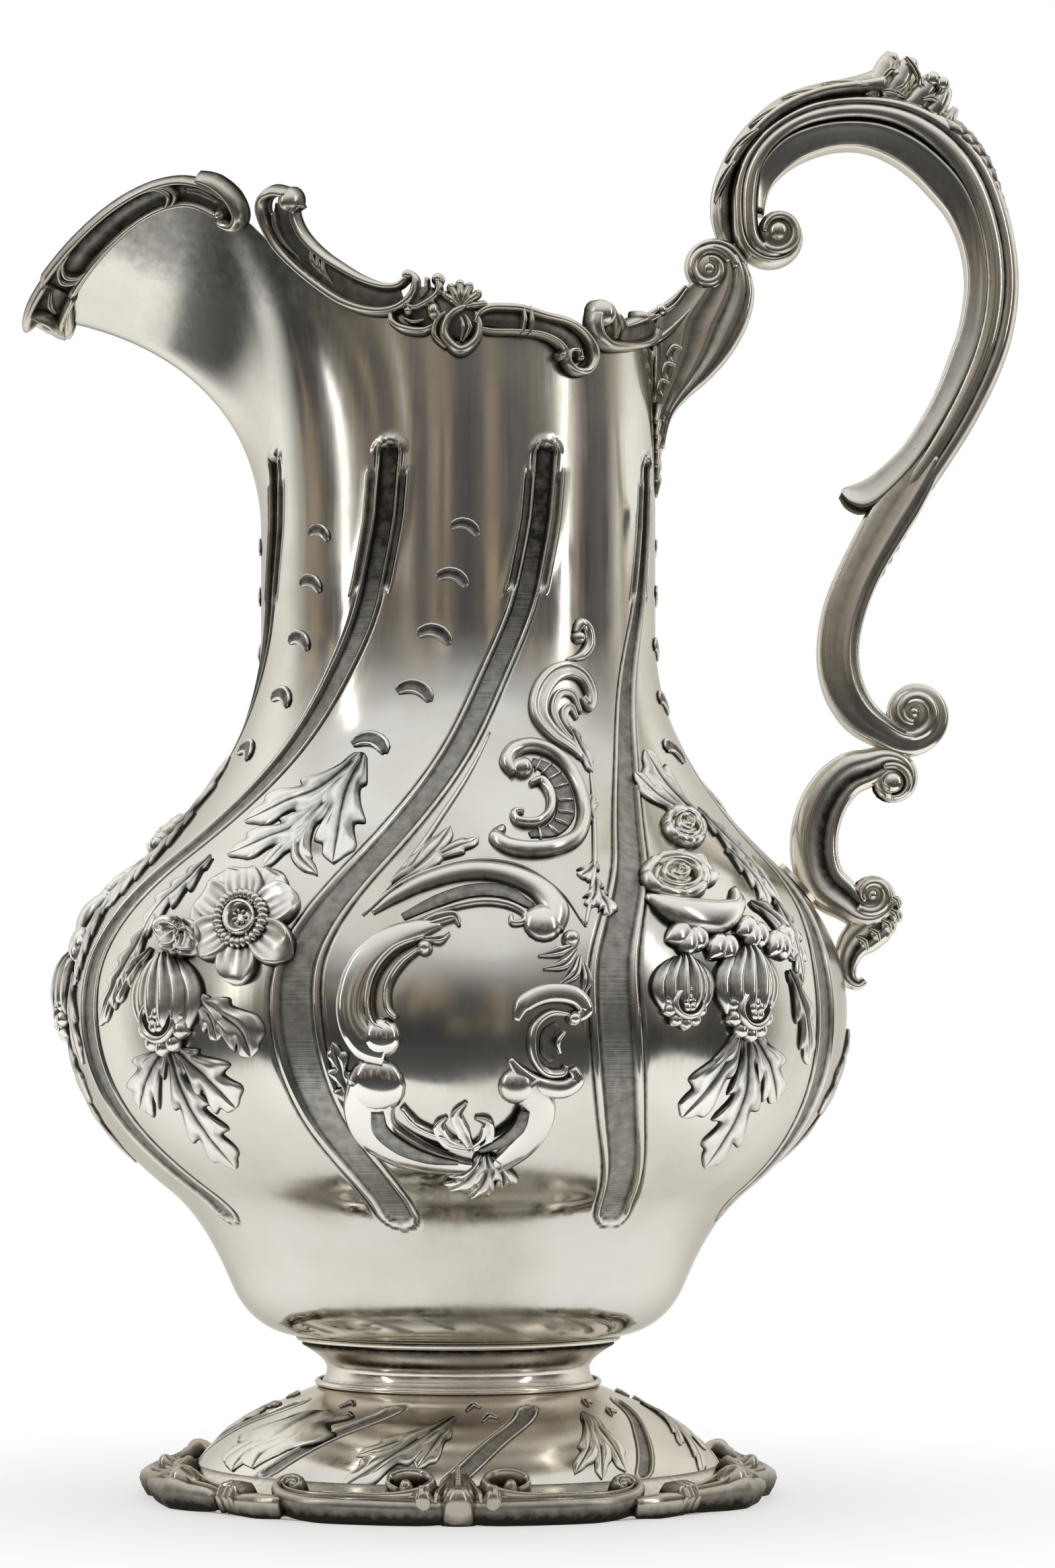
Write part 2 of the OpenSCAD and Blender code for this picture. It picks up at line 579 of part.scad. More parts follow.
module lower_scroll() {
    n = len(scroll_run);
    m = len(scroll_path);
    thick = concat(spread([0.9 * arch_t, 11.2, 10.9, 10.6, 10.4, 9.8, 8.8, 7.2], n),
                   slice(shrink(7.2, 2.4, 20), 1, 20));
    deep = concat(spread([0.9 * arch_d, scroll_d, scroll_d, scroll_d], n),
                  slice(shrink(scroll_d, 0.6 * scroll_d, 20), 1, 20));
    color(cast)
        plane_cast(scroll_path,
                   [for (i = [0:m - 1]) (i == 0 ? 0.4 : i == 1 ? 0.15 : 0) * strap_t - thick[i] / 2],
                   halved(thick, 1), deep, kite);
}

module foot_scroll() {
    deep = concat(shrink(0.6 * scroll_d, scroll_d, 20), spread([1, 0.95, 1] * scroll_d, len(foot_run) - 1),
                  slice(shrink(scroll_d, 0.6 * scroll_d, 20), 1, 20));
    color(cast)
        plane_cast([for (p = foot_path) lower + p], halved(foot_thick, -1), halved(foot_thick, 1), deep,
                   rounded);
}

// The leaf hangs from the foot scroll and curls along the bowl: out from the bowl, down from the scroll
tail_top = [14.2, -11.8];
tail_curl = [[4.4, -18], [3.1, -21.7], [6, -26.4]];
module tail_leaf() {
    curl = [for (p = tail_curl) let (z = lower[1] + p[1]) [bowl_x(z), z] + p[0] * bowl_out(z)];
    path = spline(concat([lower + tail_top], curl), 4);
    n = len(path);
    thick = spread([3.6, 4.6, 3.4, 1.8], n);
    color(cast)
        plane_cast(path, halved(thick, -1), halved(thick, 1), spread([6, 9, 7, 2.5], n), rounded);
}

module solder_pad() {
    color(cast)
        translate([pad_x + film * pad_out[0], 0, pad_z + film * pad_out[1]])
            rotate([0, atan2(pad_out[0], pad_out[1]), 0])
                cylinder(h = pad_t, r = pad_r, $fn = 48);
}

bowl_lower();
bowl_shoulder();
neck();
foot_flange();
foot_stem();
stem_wire();
foot_dome();
base_ring();
husk(0);  // husk_front
husk(180);  // husk_back
border_scroll(0, 1);  // border_scroll_1
border_scroll(0, -1);  // border_scroll_2
border_scroll(180, 1);  // border_scroll_3
border_scroll(180, -1);  // border_scroll_4
for (i = [1:4])
    collar(90 * i - 45);
for (i = [1:4])
    lobe([62, 118, -118, -62][i - 1]);
loop(-90);  // loop_left
loop(90);  // loop_right
lip_tip();
lip(1);  // lip_near
lip(-1);  // lip_far
front_scroll(1);  // front_scroll_near
front_scroll(-1);  // front_scroll_far
shell(1);  // shell_near
shell(-1);  // shell_far
rear_scroll(1);  // rear_scroll_near
rear_scroll(-1);  // rear_scroll_far
rear_volute(1);  // rear_volute_near
rear_volute(-1);  // rear_volute_far
bracket();
bracket_leaf();
arch();
strap();
thumb_leaf();
thumb_crest();
spine_leaf();
lower_scroll();
foot_scroll();
tail_leaf();
solder_pad();
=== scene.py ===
import math

import bpy
import numpy as np
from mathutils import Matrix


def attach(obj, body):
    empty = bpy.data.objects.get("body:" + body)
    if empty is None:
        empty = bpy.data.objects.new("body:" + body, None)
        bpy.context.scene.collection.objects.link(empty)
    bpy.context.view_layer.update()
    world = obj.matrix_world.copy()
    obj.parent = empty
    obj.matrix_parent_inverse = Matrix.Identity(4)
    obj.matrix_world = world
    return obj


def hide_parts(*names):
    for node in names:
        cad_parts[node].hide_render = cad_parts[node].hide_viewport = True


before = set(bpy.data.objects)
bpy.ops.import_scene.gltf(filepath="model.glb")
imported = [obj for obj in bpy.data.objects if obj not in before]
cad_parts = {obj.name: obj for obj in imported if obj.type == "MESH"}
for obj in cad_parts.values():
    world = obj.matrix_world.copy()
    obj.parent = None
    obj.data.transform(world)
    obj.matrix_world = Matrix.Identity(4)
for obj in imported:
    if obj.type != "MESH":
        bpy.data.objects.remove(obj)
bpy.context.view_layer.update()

mm = 0.001
scene = bpy.context.scene


# Curves, all in millimetres and degrees
def unit(v):
    return v / np.maximum(np.linalg.norm(v, axis=-1, keepdims=True), 1e-9)


def bezier(c, n):
    t = np.linspace(0, 1, n)[:, None]
    c = np.asarray(c, float)
    u = 1 - t
    return u**3 * c[0] + 3 * t * u * u * c[1] + 3 * t * t * u * c[2] + t**3 * c[3]


def smoothLine(points, n):  # a curve through the points, n steps to each interval
    p = np.asarray(points, float)
    q = np.vstack([2 * p[0] - p[1], p, 2 * p[-1] - p[-2]])
    t = np.linspace(0, 1, n, endpoint=False)[:, None]
    runs = []
    for a, b, c, d in zip(q, q[1:], q[2:], q[3:]):
        bend = (2 * a - 5 * b + 4 * c - d) * t**2 + (3 * b - a - 3 * c + d) * t**3
        runs.append(0.5 * (2 * b + (c - a) * t + bend))
    return np.vstack(runs + [p[-1:]])


def spread(values, n):  # a list of sizes, evened out over n places
    return np.interp(np.linspace(0, 1, n), np.linspace(0, 1, len(values)), values)


def lengths(line):  # how far along each point lies
    return np.concatenate([[0], np.cumsum(np.linalg.norm(np.diff(line, axis=0), axis=1))])


def coil(centre, fromDeg, toDeg, r0, r1, n):
    f = np.linspace(0, 1, n + 1)
    a = np.radians(fromDeg + (toDeg - fromDeg) * f)
    r = r0 * (r1 / r0) ** f
    return np.asarray(centre, float) + np.stack([r * np.cos(a), r * np.sin(a)], 1)


# Cross-sections as (side, height, darkness); the darkness is patina in the hollows and painted shade where a
# stroke meets the wall
def evenRib(half):  # drawn to the middle, and the same on the other side
    return half + [(-x, h, d) for x, h, d in half[::-1] if x]


roundRib = evenRib([(-1, -0.15, 1), (-0.93, 0.3, 0.6), (-0.7, 0.7, 0.1), (-0.36, 0.94, 0), (0, 1, 0)])
channelRib = evenRib([(-1, -0.15, 1), (-0.96, 0.45, 0.4), (-0.86, 0.9, 0), (-0.72, 1, 0), (-0.58, 0.84, 0.15),
                      (-0.44, 0.46, 0.85), (0, 0.3, 0.75)])
leafRib = evenRib([(-1, -0.2, 1), (-0.92, 0.3, 0.45), (-0.62, 0.86, 0.05), (-0.28, 0.84, 0.1),
                   (-0.09, 0.5, 0.7)])
petalRib = evenRib([(-1, -0.2, 1), (-0.95, 0.5, 0.35), (-0.75, 0.95, 0), (-0.35, 0.72, 0.15), (0, 0.6, 0.25)])
pitRib = evenRib([(-1, -0.3, 1), (-0.8, 0.6, 1), (0, 1, 0.9)])


# Bits of mesh are (places, faces, darkness: patina and painted shade), joined into one piece
def sweep(places, outs, wide, high, section):
    p = np.asarray(places, float)
    n = unit(np.broadcast_to(np.asarray(outs, float), p.shape))  # one way for all, or one each
    d = unit(np.gradient(p, axis=0))
    s = unit(np.cross(n, d))
    rows = len(p)
    sec = np.asarray(section, float)
    side = s[:, None] * (sec[None, :, :1] * spread(wide, rows)[:, None, None])
    lift = n[:, None] * (sec[None, :, 1:2] * spread(high, rows)[:, None, None])
    return closedTube(p[:, None] + side + lift, np.tile(sec[:, 2], (rows, 1)))


def closedTube(rings, dark):
    rows, cols = rings.shape[:2]
    i, j = np.meshgrid(np.arange(rows - 1), np.arange(cols), indexing="ij")
    k = (j + 1) % cols
    quads = np.stack([i * cols + j, (i + 1) * cols + j, (i + 1) * cols + k, i * cols + k], -1).reshape(-1, 4)
    faces = quads.tolist()
    first, last = rows * cols, rows * cols + 1
    base = (rows - 1) * cols
    for a in range(cols):
        b = (a + 1) % cols
        faces.append([a, b, first])
        faces.append([base + b, base + a, last])
    places = np.vstack([rings.reshape(-1, 3), rings[0].mean(0), rings[-1].mean(0)])
    shade = np.concatenate([dark.reshape(-1), [dark[0].mean(), dark[-1].mean()]])
    return places, faces, shade


def boss(place, out, r, h, along=(0, 0, 1), stretch=1.0):  # a ball sunk into a surface
    n = unit(np.asarray(out, float))
    u = unit(np.asarray(along, float) - n * np.dot(n, along))
    v = np.cross(n, u)
    a = np.radians(np.arange(0, 360, 22.5))
    rings = []
    dark = []
    for lift in (-12, 8, 28, 48, 66, 80):
        c, s = math.cos(math.radians(lift)), math.sin(math.radians(lift))
        ring = np.outer(np.cos(a), u * stretch) + np.outer(np.sin(a), v)
        rings.append(np.asarray(place) + r * c * ring + h * s * n)
        # dark round the foot of the ball, where it meets the surface: patina and painted shade
        dark.append(np.full(len(a), max(0.0, 0.95 - 2.4 * max(s, 0))))
    return closedTube(np.array(rings)[:, ::-1], np.array(dark))


def joined(bits):
    places, faces, shade, start = [], [], [], 0
    for v, f, d in bits:
        places.append(v)
        shade.append(d)
        faces += [[k + start for k in face] for face in f]
        start += len(v)
    return np.vstack(places), faces, np.concatenate(shade)


def plainMesh(name, places, faces, fields):
    mesh = bpy.data.meshes.new(name)
    mesh.from_pydata((np.asarray(places) * mm).tolist(), [], faces)
    mesh.polygons.foreach_set("use_smooth", np.ones(len(mesh.polygons), bool))
    for key, values in fields.items():
        mesh.attributes.new(key, "FLOAT", "POINT").data.foreach_set("value", np.asarray(values, np.float32))
    return mesh


def makePiece(name, bit, finish, nodes=(), normals=None, extra=None):
    places, faces, shade = bit
    mesh = plainMesh(name, places, faces, dict(extra or {}, patinaAndShade=shade))
    mesh.materials.append(finishes[finish])
    mesh.update()
    if normals is not None:
        mesh.normals_split_custom_set_from_vertices(unit(normals).tolist())
    return addPiece(bpy.data.objects.new(name, mesh), nodes)


def addPiece(piece, nodes=()):
    if piece.name not in scene.collection.objects:
        scene.collection.objects.link(piece)
    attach(piece, "root")
    if nodes:
        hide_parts(*nodes)
    return piece


def addNode(tree, kind, inputs=None, **settings):  # an input is a number, a colour or another node's socket
    made = tree.nodes.new(kind)
    for key, value in settings.items():
        setattr(made, key, value)
    for key, value in (inputs or {}).items():
        if isinstance(value, bpy.types.NodeSocket):
            tree.links.new(value, made.inputs[key])
        else:
            made.inputs[key].default_value = value
    return made


# Silver: one recipe, with its own tint, wear and tarnish for each part of the ewer; the tints are set lighter
# or darker for the light and reflections each part shows, which is painted light and shade
silver = {
    "edgeShadeTint": (0.6, 0.58, 0.54, 1),  # grazing reflections are tinted darker: painted shade along the edges that turn away
    "tarnishTint": (0.7, 0.63, 0.54),
    "bloom": (28, 5), "speckle": (420, 4), "brush": (900, 3, (1, 1, 0.06)),  # scale, detail, stretch
    "speckled": 0.45, "matted": 0.34, "chasing": 1.5, "chased": 0.5, "bump": 0.27, "bumpDeep": 0.0002,
}
silvers = {  # tint, dark of the hollows, polish, tarnish, scratches
    "sheetSilver": ((0.83, 0.81, 0.74), (0.05, 0.044, 0.036), 0.06, 0.38, 0.05),
    "reliefSilver": ((0.97, 0.95, 0.89), (0.06, 0.053, 0.044), 0.1, 0.33, 0.03),
    "castSilver": ((0.78, 0.75, 0.67), (0.045, 0.039, 0.032), 0.12, 0.45, 0.04),
    # the border's tint is darkened: a painted dark reflection on its outer faces
    "borderSilver": ((0.56, 0.52, 0.45), (0.03, 0.026, 0.022), 0.09, 0.46, 0.04),
    "footSilver": ((0.86, 0.82, 0.74), (0.05, 0.043, 0.035), 0.09, 0.4, 0.05),
    "handleSilver": ((0.9, 0.865, 0.78), (0.05, 0.042, 0.033), 0.09, 0.42, 0.05),
}


def silverFinish(name, tint, dark, polish, tarnishAndPaintedReflection, scratch):
    finish = bpy.data.materials.new(name)
    finish.use_nodes = True
    tree = finish.node_tree
    shader = tree.nodes["Principled BSDF"]
    shader.inputs["Metallic"].default_value = 1.0
    shader.inputs["Specular Tint"].default_value = silver["edgeShadeTint"]
    where = addNode(tree, "ShaderNodeTexCoord").outputs["Object"]

    def field(key):
        return addNode(tree, "ShaderNodeAttribute", attribute_name=key).outputs["Fac"]

    def mixed(factor, first, second):
        return addNode(tree, "ShaderNodeMix", {0: factor, 6: first, 7: second}, data_type="RGBA").outputs[2]

    def ranged(value, low, high, outLow, outHigh):
        limits = {"Value": value, "From Min": low, "From Max": high, "To Min": outLow, "To Max": outHigh}
        return addNode(tree, "ShaderNodeMapRange", limits).outputs[0]

    def maths(kind, a, b):
        return addNode(tree, "ShaderNodeMath", {0: a, 1: b}, operation=kind).outputs[0]

    def cloud(scale, detail, stretch=(1, 1, 1)):
        spot = addNode(tree, "ShaderNodeMapping", {"Vector": where, "Scale": stretch}).outputs[0]
        noise = addNode(tree, "ShaderNodeTexNoise", {"Vector": spot, "Scale": scale, "Detail": detail})
        return noise.outputs["Fac"]

    patinaAndShade = field("patinaAndShade")
    matting = field("matting")
    bloom = cloud(*silver["bloom"])
    speckle = cloud(*silver["speckle"])
    brush = cloud(*silver["brush"])
    tarnished = tuple(x * y for x, y in zip(tint, silver["tarnishTint"]))
    skin = mixed(ranged(bloom, 0.42, 0.72, 0.0, tarnishAndPaintedReflection), (*tint, 1), (*tarnished, 1))
    uneven = maths("MULTIPLY", maths("SUBTRACT", speckle, 0.5), silver["speckled"])
    # patina and painted shade darken the colour towards the dark of the hollows
    deep = ranged(maths("ADD", patinaAndShade, uneven), 0.12, 0.85, 0, 1)
    tree.links.new(mixed(deep, skin, (*dark, 1)), shader.inputs["Base Color"])
    rough = maths("ADD", ranged(bloom, 0.35, 0.75, polish, polish + 0.5 * tarnishAndPaintedReflection + 0.05),
                  ranged(maths("ADD", patinaAndShade, matting), 0.05, 0.9, 0.0, silver["matted"]))
    rough = maths("ADD", rough, ranged(brush, 0.4, 0.75, 0.0, scratch))
    tree.links.new(rough, shader.inputs["Roughness"])
    across = {"W": field("along"), "Scale": silver["chasing"], "Detail": 1.0}
    chasing = addNode(tree, "ShaderNodeTexNoise", across, noise_dimensions="1D")
    lines = ranged(chasing.outputs["Fac"], 0.3, 0.7, -1.0, 1.0)  # lines across a flute, never quite even
    cut = maths("MULTIPLY", maths("MULTIPLY", lines, ranged(speckle, 0.3, 0.7, 0.2, 1.0)), matting)
    grain = maths("ADD", maths("MULTIPLY", cut, silver["chased"]), maths("MULTIPLY", brush, scratch * 2))
    bump = {"Strength": silver["bump"], "Distance": silver["bumpDeep"], "Height": grain}
    tree.links.new(addNode(tree, "ShaderNodeBump", bump).outputs[0], shader.inputs["Normal"])
    return finish


finishes = {name: silverFinish(name, *how) for name, how in silvers.items()}
print("silver mixed:", len(finishes), "finishes")


# Shapes turned on the ewer's axis; an angle of 0 faces the front, 90 the handle
bowl = {
    "heel": [[38, 39.5], [47, 39.5], [52.8, 44.6], [56, 52]],
    "flare": [[56, 52], [59.8, 61.2], [64.5, 69.9], [71.5, 75.5]],
    "belly": [[71.5, 75.5], [85.5, 86.5], [96, 100], [96, 119]],
    "round": [[96, 119], [96, 137], [86.5, 148.2], [77.5, 156.5]],
    "sweep": [[77.5, 156.5], [65.1, 168], [48.8, 185], [48.8, 213]],
    "wall": 0.9, "seam": 119, "rowStep": 1.05,
}
neck = {"r": 48.8, "seam": 213, "throat": 237, "rim": 281, "mouth": 48.2, "reach": 54.5, "spread": 30.7,
        "crest": 36, "crestAt": 26, "fall": 18, "tip": 10, "bed": 0.35, "rows": 61,
        # the dark band under the spout's rim is a painted dark reflection
        "tarnishAndPaintedReflection": {"from": 269, "lean": 0.35, "over": 10, "left": (-15, 20), "dark": 0.42}}
foot = {"dome": [[66, 2.6], [66, 12.15], [49.5, 21.5], [34.5, 27]],
        "stem": [[34.5, 27.1], [31.5, 31.1], [31.1, 32.8], [38.7, 37.3]], "wall": 0.9}


def turnedShape(curves, n=60, top=None):
    line = np.vstack([bezier(c, n) for c in curves] + ([top] if top is not None else []))
    keep = np.concatenate([[True], np.linalg.norm(np.diff(line, axis=0), axis=1) > 1e-6])
    line = line[keep]
    length = lengths(line)
    slope = unit(np.gradient(line, axis=0))
    return {"r": line[:, 0], "z": line[:, 1], "s": length, "nr": slope[:, 1], "nz": -slope[:, 0]}


def at(shape, deg, z):  # places and outward directions on a turned shape
    a = np.radians(np.asarray(deg, float))
    z = np.asarray(z, float)
    r = np.interp(z, shape["z"], shape["r"])
    nr = np.interp(z, shape["z"], shape["nr"])
    nz = np.interp(z, shape["z"], shape["nz"])
    place = np.stack([r * np.sin(a), -r * np.cos(a), z], -1)
    return place, unit(np.stack([nr * np.sin(a), -nr * np.cos(a), nz], -1))


bodyShape = turnedShape([bowl[k] for k in ("heel", "flare", "belly", "round", "sweep")],
                        top=np.array([[neck["r"], z] for z in range(214, 300, 2)], float))
domeShape = turnedShape([foot["dome"]])


# Neck and spout, by the angle from the spout; positive on the near side
def neckLine(a):
    b = np.abs(a)
    f = np.exp(-((b / neck["spread"]) ** 1.7))
    r = neck["mouth"] + neck["reach"] * f
    climb = np.sin(np.radians(90 * np.minimum(b / neck["crestAt"], 1))) ** 1.5
    front = neck["tip"] + (neck["crest"] - neck["tip"]) * climb
    back = neck["crest"] / (1 + ((b - neck["crestAt"]) / neck["fall"]) ** 2)
    z = neck["rim"] + np.where(b < neck["crestAt"], front, back)
    h = z - neck["throat"]
    one = np.ones_like(r)
    return np.stack([np.stack([neck["r"] * one, neck["throat"] * one], -1),
                     np.stack([neck["r"] * one, neck["throat"] + 0.54 * h], -1),
                     np.stack([r - 0.63 * (r - neck["r"]), z - h * (0.35 - 0.26 * f)], -1),
                     np.stack([r, z], -1)])


def neckAt(a, t):
    a = (np.asarray(a, float) + 180) % 360 - 180
    c = neckLine(a)
    t = np.asarray(t, float)[..., None]
    u = 1 - t
    rz = u**3 * c[0] + 3 * t * u * u * c[1] + 3 * t * t * u * c[2] + t**3 * c[3]
    b = np.radians(a)
    return np.stack([-rz[..., 0] * np.cos(b), -rz[..., 0] * np.sin(b), rz[..., 1]], -1)


def rimFrame(a):  # out of the wall, up the wall
    one = np.ones_like(a)
    along = unit(neckAt(a + 0.2, one) - neckAt(a - 0.2, one))
    out = unit(np.cross(along, neckAt(a, one) - neckAt(a, one * 0.98)))
    return out, np.cross(out, along)


def onRim(path, side):
    path = np.asarray(path, float)
    a = side * path[:, 0]
    out, up = rimFrame(a)
    return neckAt(a, np.ones_like(a)) + path[:, 1:2] * up + neck["bed"] * out, out


def rimMm(a):
    return float(np.linalg.norm(neckAt(a + 0.5, 1.0) - neckAt(a - 0.5, 1.0)))


# The raised sheet: rows follow the wall, columns follow the swirl of the flutes
flutes = {
    "count": 8, "first": 22.5, "top": 252.0, "bottom": 72.0,
    "twist": [(30, -28), (67, -33.6), (95, -42.6), (121, -45.5), (138, -43.6), (160, -34.6), (183, -21.5),
              (197, -14), (214, -5), (228, -0.8), (241, 1.9), (254, 3.4), (267, 3.9), (280, 3.9), (420, 3.9)],
    "half": [(30, 3.3), (67, 3.5), (95, 4.3), (119, 4.6), (150, 3.6), (183, 2.8), (214, 2.5), (254, 2.35),
             (420, 2.35)],
    "across": [0, 0.2, 0.4, 0.55, 0.68, 0.78, 0.86, 0.93, 1, 1.07, 1.14, 1.21, 1.28, 1.35, 1.42, 1.5, 1.58,
               1.66, 1.76, 1.86, 1.96, 2.06, 2.16, 2.28, 2.45],
    "between": 15, "clear": 9.0,  # columns between two flutes, and their mark
    "neckDark": (205, 30, 0.28),
    "endRoll": (1.5, 0.55), "endN": [1, 1.15, 1.5, 2.1], "endRise": [0, 1, 0.8, 0],
}
fluteCut = {"n": [0, 0.7, 0.86, 1, 1.08, 1.2, 1.32, 1.42, 1.52, 1.65],
            "depth": [-0.95, -0.9, -0.66, -0.06, 0.26, 0.34, 0.2, -0.16, -0.14, 0],
            "patinaAndShade": [0.5, 0.53, 0.75, 0.3, 0, 0, 0.15, 0.9, 0.6, 0],
            "matting": [1, 1, 0.3, 0, 0, 0, 0, 0, 0, 0]}
sideGroove = {"at": 3.85, "half": 0.95, "top": 247.6, "bottom": 219.5, "taper": 1.6, "fluteEdge": 1.3,
              "n": [0, 0.6, 0.95, 1.15], "depth": [-0.75, -0.68, -0.1, 0],
              "darkN": [0, 0.8, 1.05, 1.2], "patinaAndShade": [0.62, 0.7, 0.3, 0],
              "lipAt": [0.95, 1.2, 1.45, 1.8], "lip": [0, 0.22, 0.18, 0]}
panelSwell = {"at": (-1.5, 178.5), "r": 95, "wide": 20, "mid": 115, "tall": 24, "high": 1.5}
# insideDark and floorDark are painted shade on the inner wall and on the flat bottoms
shellWork = {"step": 7, "insideDark": 0.35, "floorDark": 0.3}


def table(pairs, z, smooth=True):
    line = smoothLine(pairs, 8) if smooth else np.asarray(pairs, float)
    return np.interp(z, line[:, 0], line[:, 1])


def fluteColumns(how, twist, halfDeg):  # angles of the columns for one row
    reach = how["across"][-1]
    dense = np.array([-x for x in how["across"][:0:-1]] + how["across"])
    gap = 360 / how["count"]
    f = np.linspace(0, 1, how["between"] + 2)[1:-1]
    angles, offsets = [], []
    for k in range(how["count"]):
        c = how["first"] + gap * k + twist
        angles += [c + dense * halfDeg, c + reach * halfDeg + f * (gap - 2 * reach * halfDeg)]
        offsets += [dense, np.full(len(f), flutes["clear"])]
    return np.concatenate(angles), np.concatenate(offsets)


def capsule(offset, overrun, half):  # distance from a flute's middle, in half widths, with rounded ends
    return np.hypot(offset, overrun / half)


def cutAcross(e):  # depth, patina and matting of a flute
    return (np.interp(e, fluteCut["n"], fluteCut[key]) for key in ("depth", "patinaAndShade", "matting"))


def swell(deg, z):  # soft boss behind the shield-like panel, front and back
    how = panelSwell
    push = np.zeros_like(deg)
    for centre in how["at"]:
        d = (deg - centre + 180) % 360 - 180
        x = d * math.pi / 180 * how["r"] / how["wide"]
        push += how["high"] * np.exp(-((x**2 + ((z - how["mid"]) / how["tall"]) ** 2) ** 2))
    return push


def bodyRows():
    shape = bodyShape
    s = np.arange(0, shape["s"][-1], bowl["rowStep"])
    z = np.interp(s, shape["s"], shape["z"])
    r = np.interp(s, shape["s"], shape["r"])
    keep = z < neck["throat"] - 0.5
    s = np.append(s[keep], np.interp(neck["throat"], shape["z"], shape["s"]))
    return s, np.append(z[keep], neck["throat"]), np.append(r[keep], neck["r"])


def raiseBody():
    s, z, r = bodyRows()
    lowEnd = np.interp(flutes["bottom"], bodyShape["z"], bodyShape["s"])
    levels = np.linspace(0, 1, neck["rows"] + 1)[1:]
    climbs = (neck["rim"] - neck["throat"]) * levels
    side, tarnishAndPaintedReflection = sideGroove, neck["tarnishAndPaintedReflection"]
    darkFrom, darkOver, darker = flutes["neckDark"]
    rows = []
    for k in range(len(s) + len(levels)):
        spout = k - len(s)  # above the throat, from 0 on, the wall opens into the spout
        if spout < 0:
            zz, rr, ss = z[k], r[k], s[k]
        else:
            zz, rr, ss = neck["throat"] + climbs[spout], neck["r"], s[-1] + climbs[spout]
        half = float(table(flutes["half"], zz))
        deg, n = fluteColumns(flutes, float(table(flutes["twist"], zz)), math.degrees(half / rr))
        if spout < 0:
            place = at(bodyShape, deg, np.full_like(deg, zz))[0]
        else:
            place = neckAt(deg + 90, np.full_like(deg, levels[spout]))
        height = place[:, 2]
        e = capsule(n, np.maximum(0, np.maximum(lowEnd - ss, height - flutes["top"])), half)
        rise, shade, mat = cutAcross(e)
        inside = np.minimum(height - side["bottom"], side["top"] - height) / side["taper"]
        fade = np.clip(inside, 0, 1)  # 1 along the side grooves, less at their ends
        edge = np.clip(inside + 1, 0, 1)
        sideHalf = side["half"] * np.sqrt(np.clip(inside * (2 - np.minimum(inside, 1)), 0.01, 1))
        off = np.abs(np.abs(n) * half - side["at"])
        clear = n == flutes["clear"]
        eSide = np.where(clear, flutes["clear"], off / sideHalf)
        rise = np.where(e > side["fluteEdge"], rise * (1 - edge), rise)
        rise = rise + fade * np.interp(eSide, side["n"], side["depth"])
        rise = rise + edge * np.interp(off, side["lipAt"], side["lip"]) * ~clear
        shade = np.where(e > side["fluteEdge"], shade * (1 - edge), shade)
        shade = np.maximum(shade, fade * np.interp(eSide, side["darkN"], side["patinaAndShade"]))
        shade = np.where(e < 1, shade + darker * np.clip((height - darkFrom) / darkOver, 0, 1), shade)
        roll = flutes["endRoll"][1] * np.clip((height - flutes["top"]) / flutes["endRoll"][0], 0, 1)
        rise = rise + roll * np.interp(e, flutes["endN"], flutes["endRise"])
        if spout < 0:
            rise = rise + swell(deg, zz)
        else:  # a painted dark reflection under the spout's rim, darker towards the left
            above = height - tarnishAndPaintedReflection["from"] + tarnishAndPaintedReflection["lean"] * place[:, 0]
            above = np.clip(above / tarnishAndPaintedReflection["over"], 0, 1)
            left = np.clip((tarnishAndPaintedReflection["left"][0] - place[:, 0]) / tarnishAndPaintedReflection["left"][1], 0, 1)
            shade = np.maximum(shade, tarnishAndPaintedReflection["dark"] * above * left)
        rows.append((place, rise, shade, mat, np.full_like(deg, ss)))
    seams = [int(np.argmin(abs(z - seam))) for seam in (bowl["seam"], neck["seam"])]
    return sheetGrid(rows, bowl["wall"], 1), seams


def sheetGrid(rows, wall, follow):  # the inside follows the flutes where follow is 1
    smooth, push, dark, matt, run = (np.array(x) for x in zip(*rows))
    plain = gridNormals(smooth)
    outer = smooth + plain * push[..., None]
    inner = smooth + plain * (np.minimum(push, 0) * follow - wall)[..., None]
    return {"outer": outer, "inner": inner, "n": gridNormals(outer), "plain": plain,
            "dark": dark, "matt": matt, "run": run}


def gridNormals(g):
    across = np.roll(g, -1, 1) - np.roll(g, 1, 1)
    up = np.gradient(g, axis=0)
    return unit(np.cross(across, up))


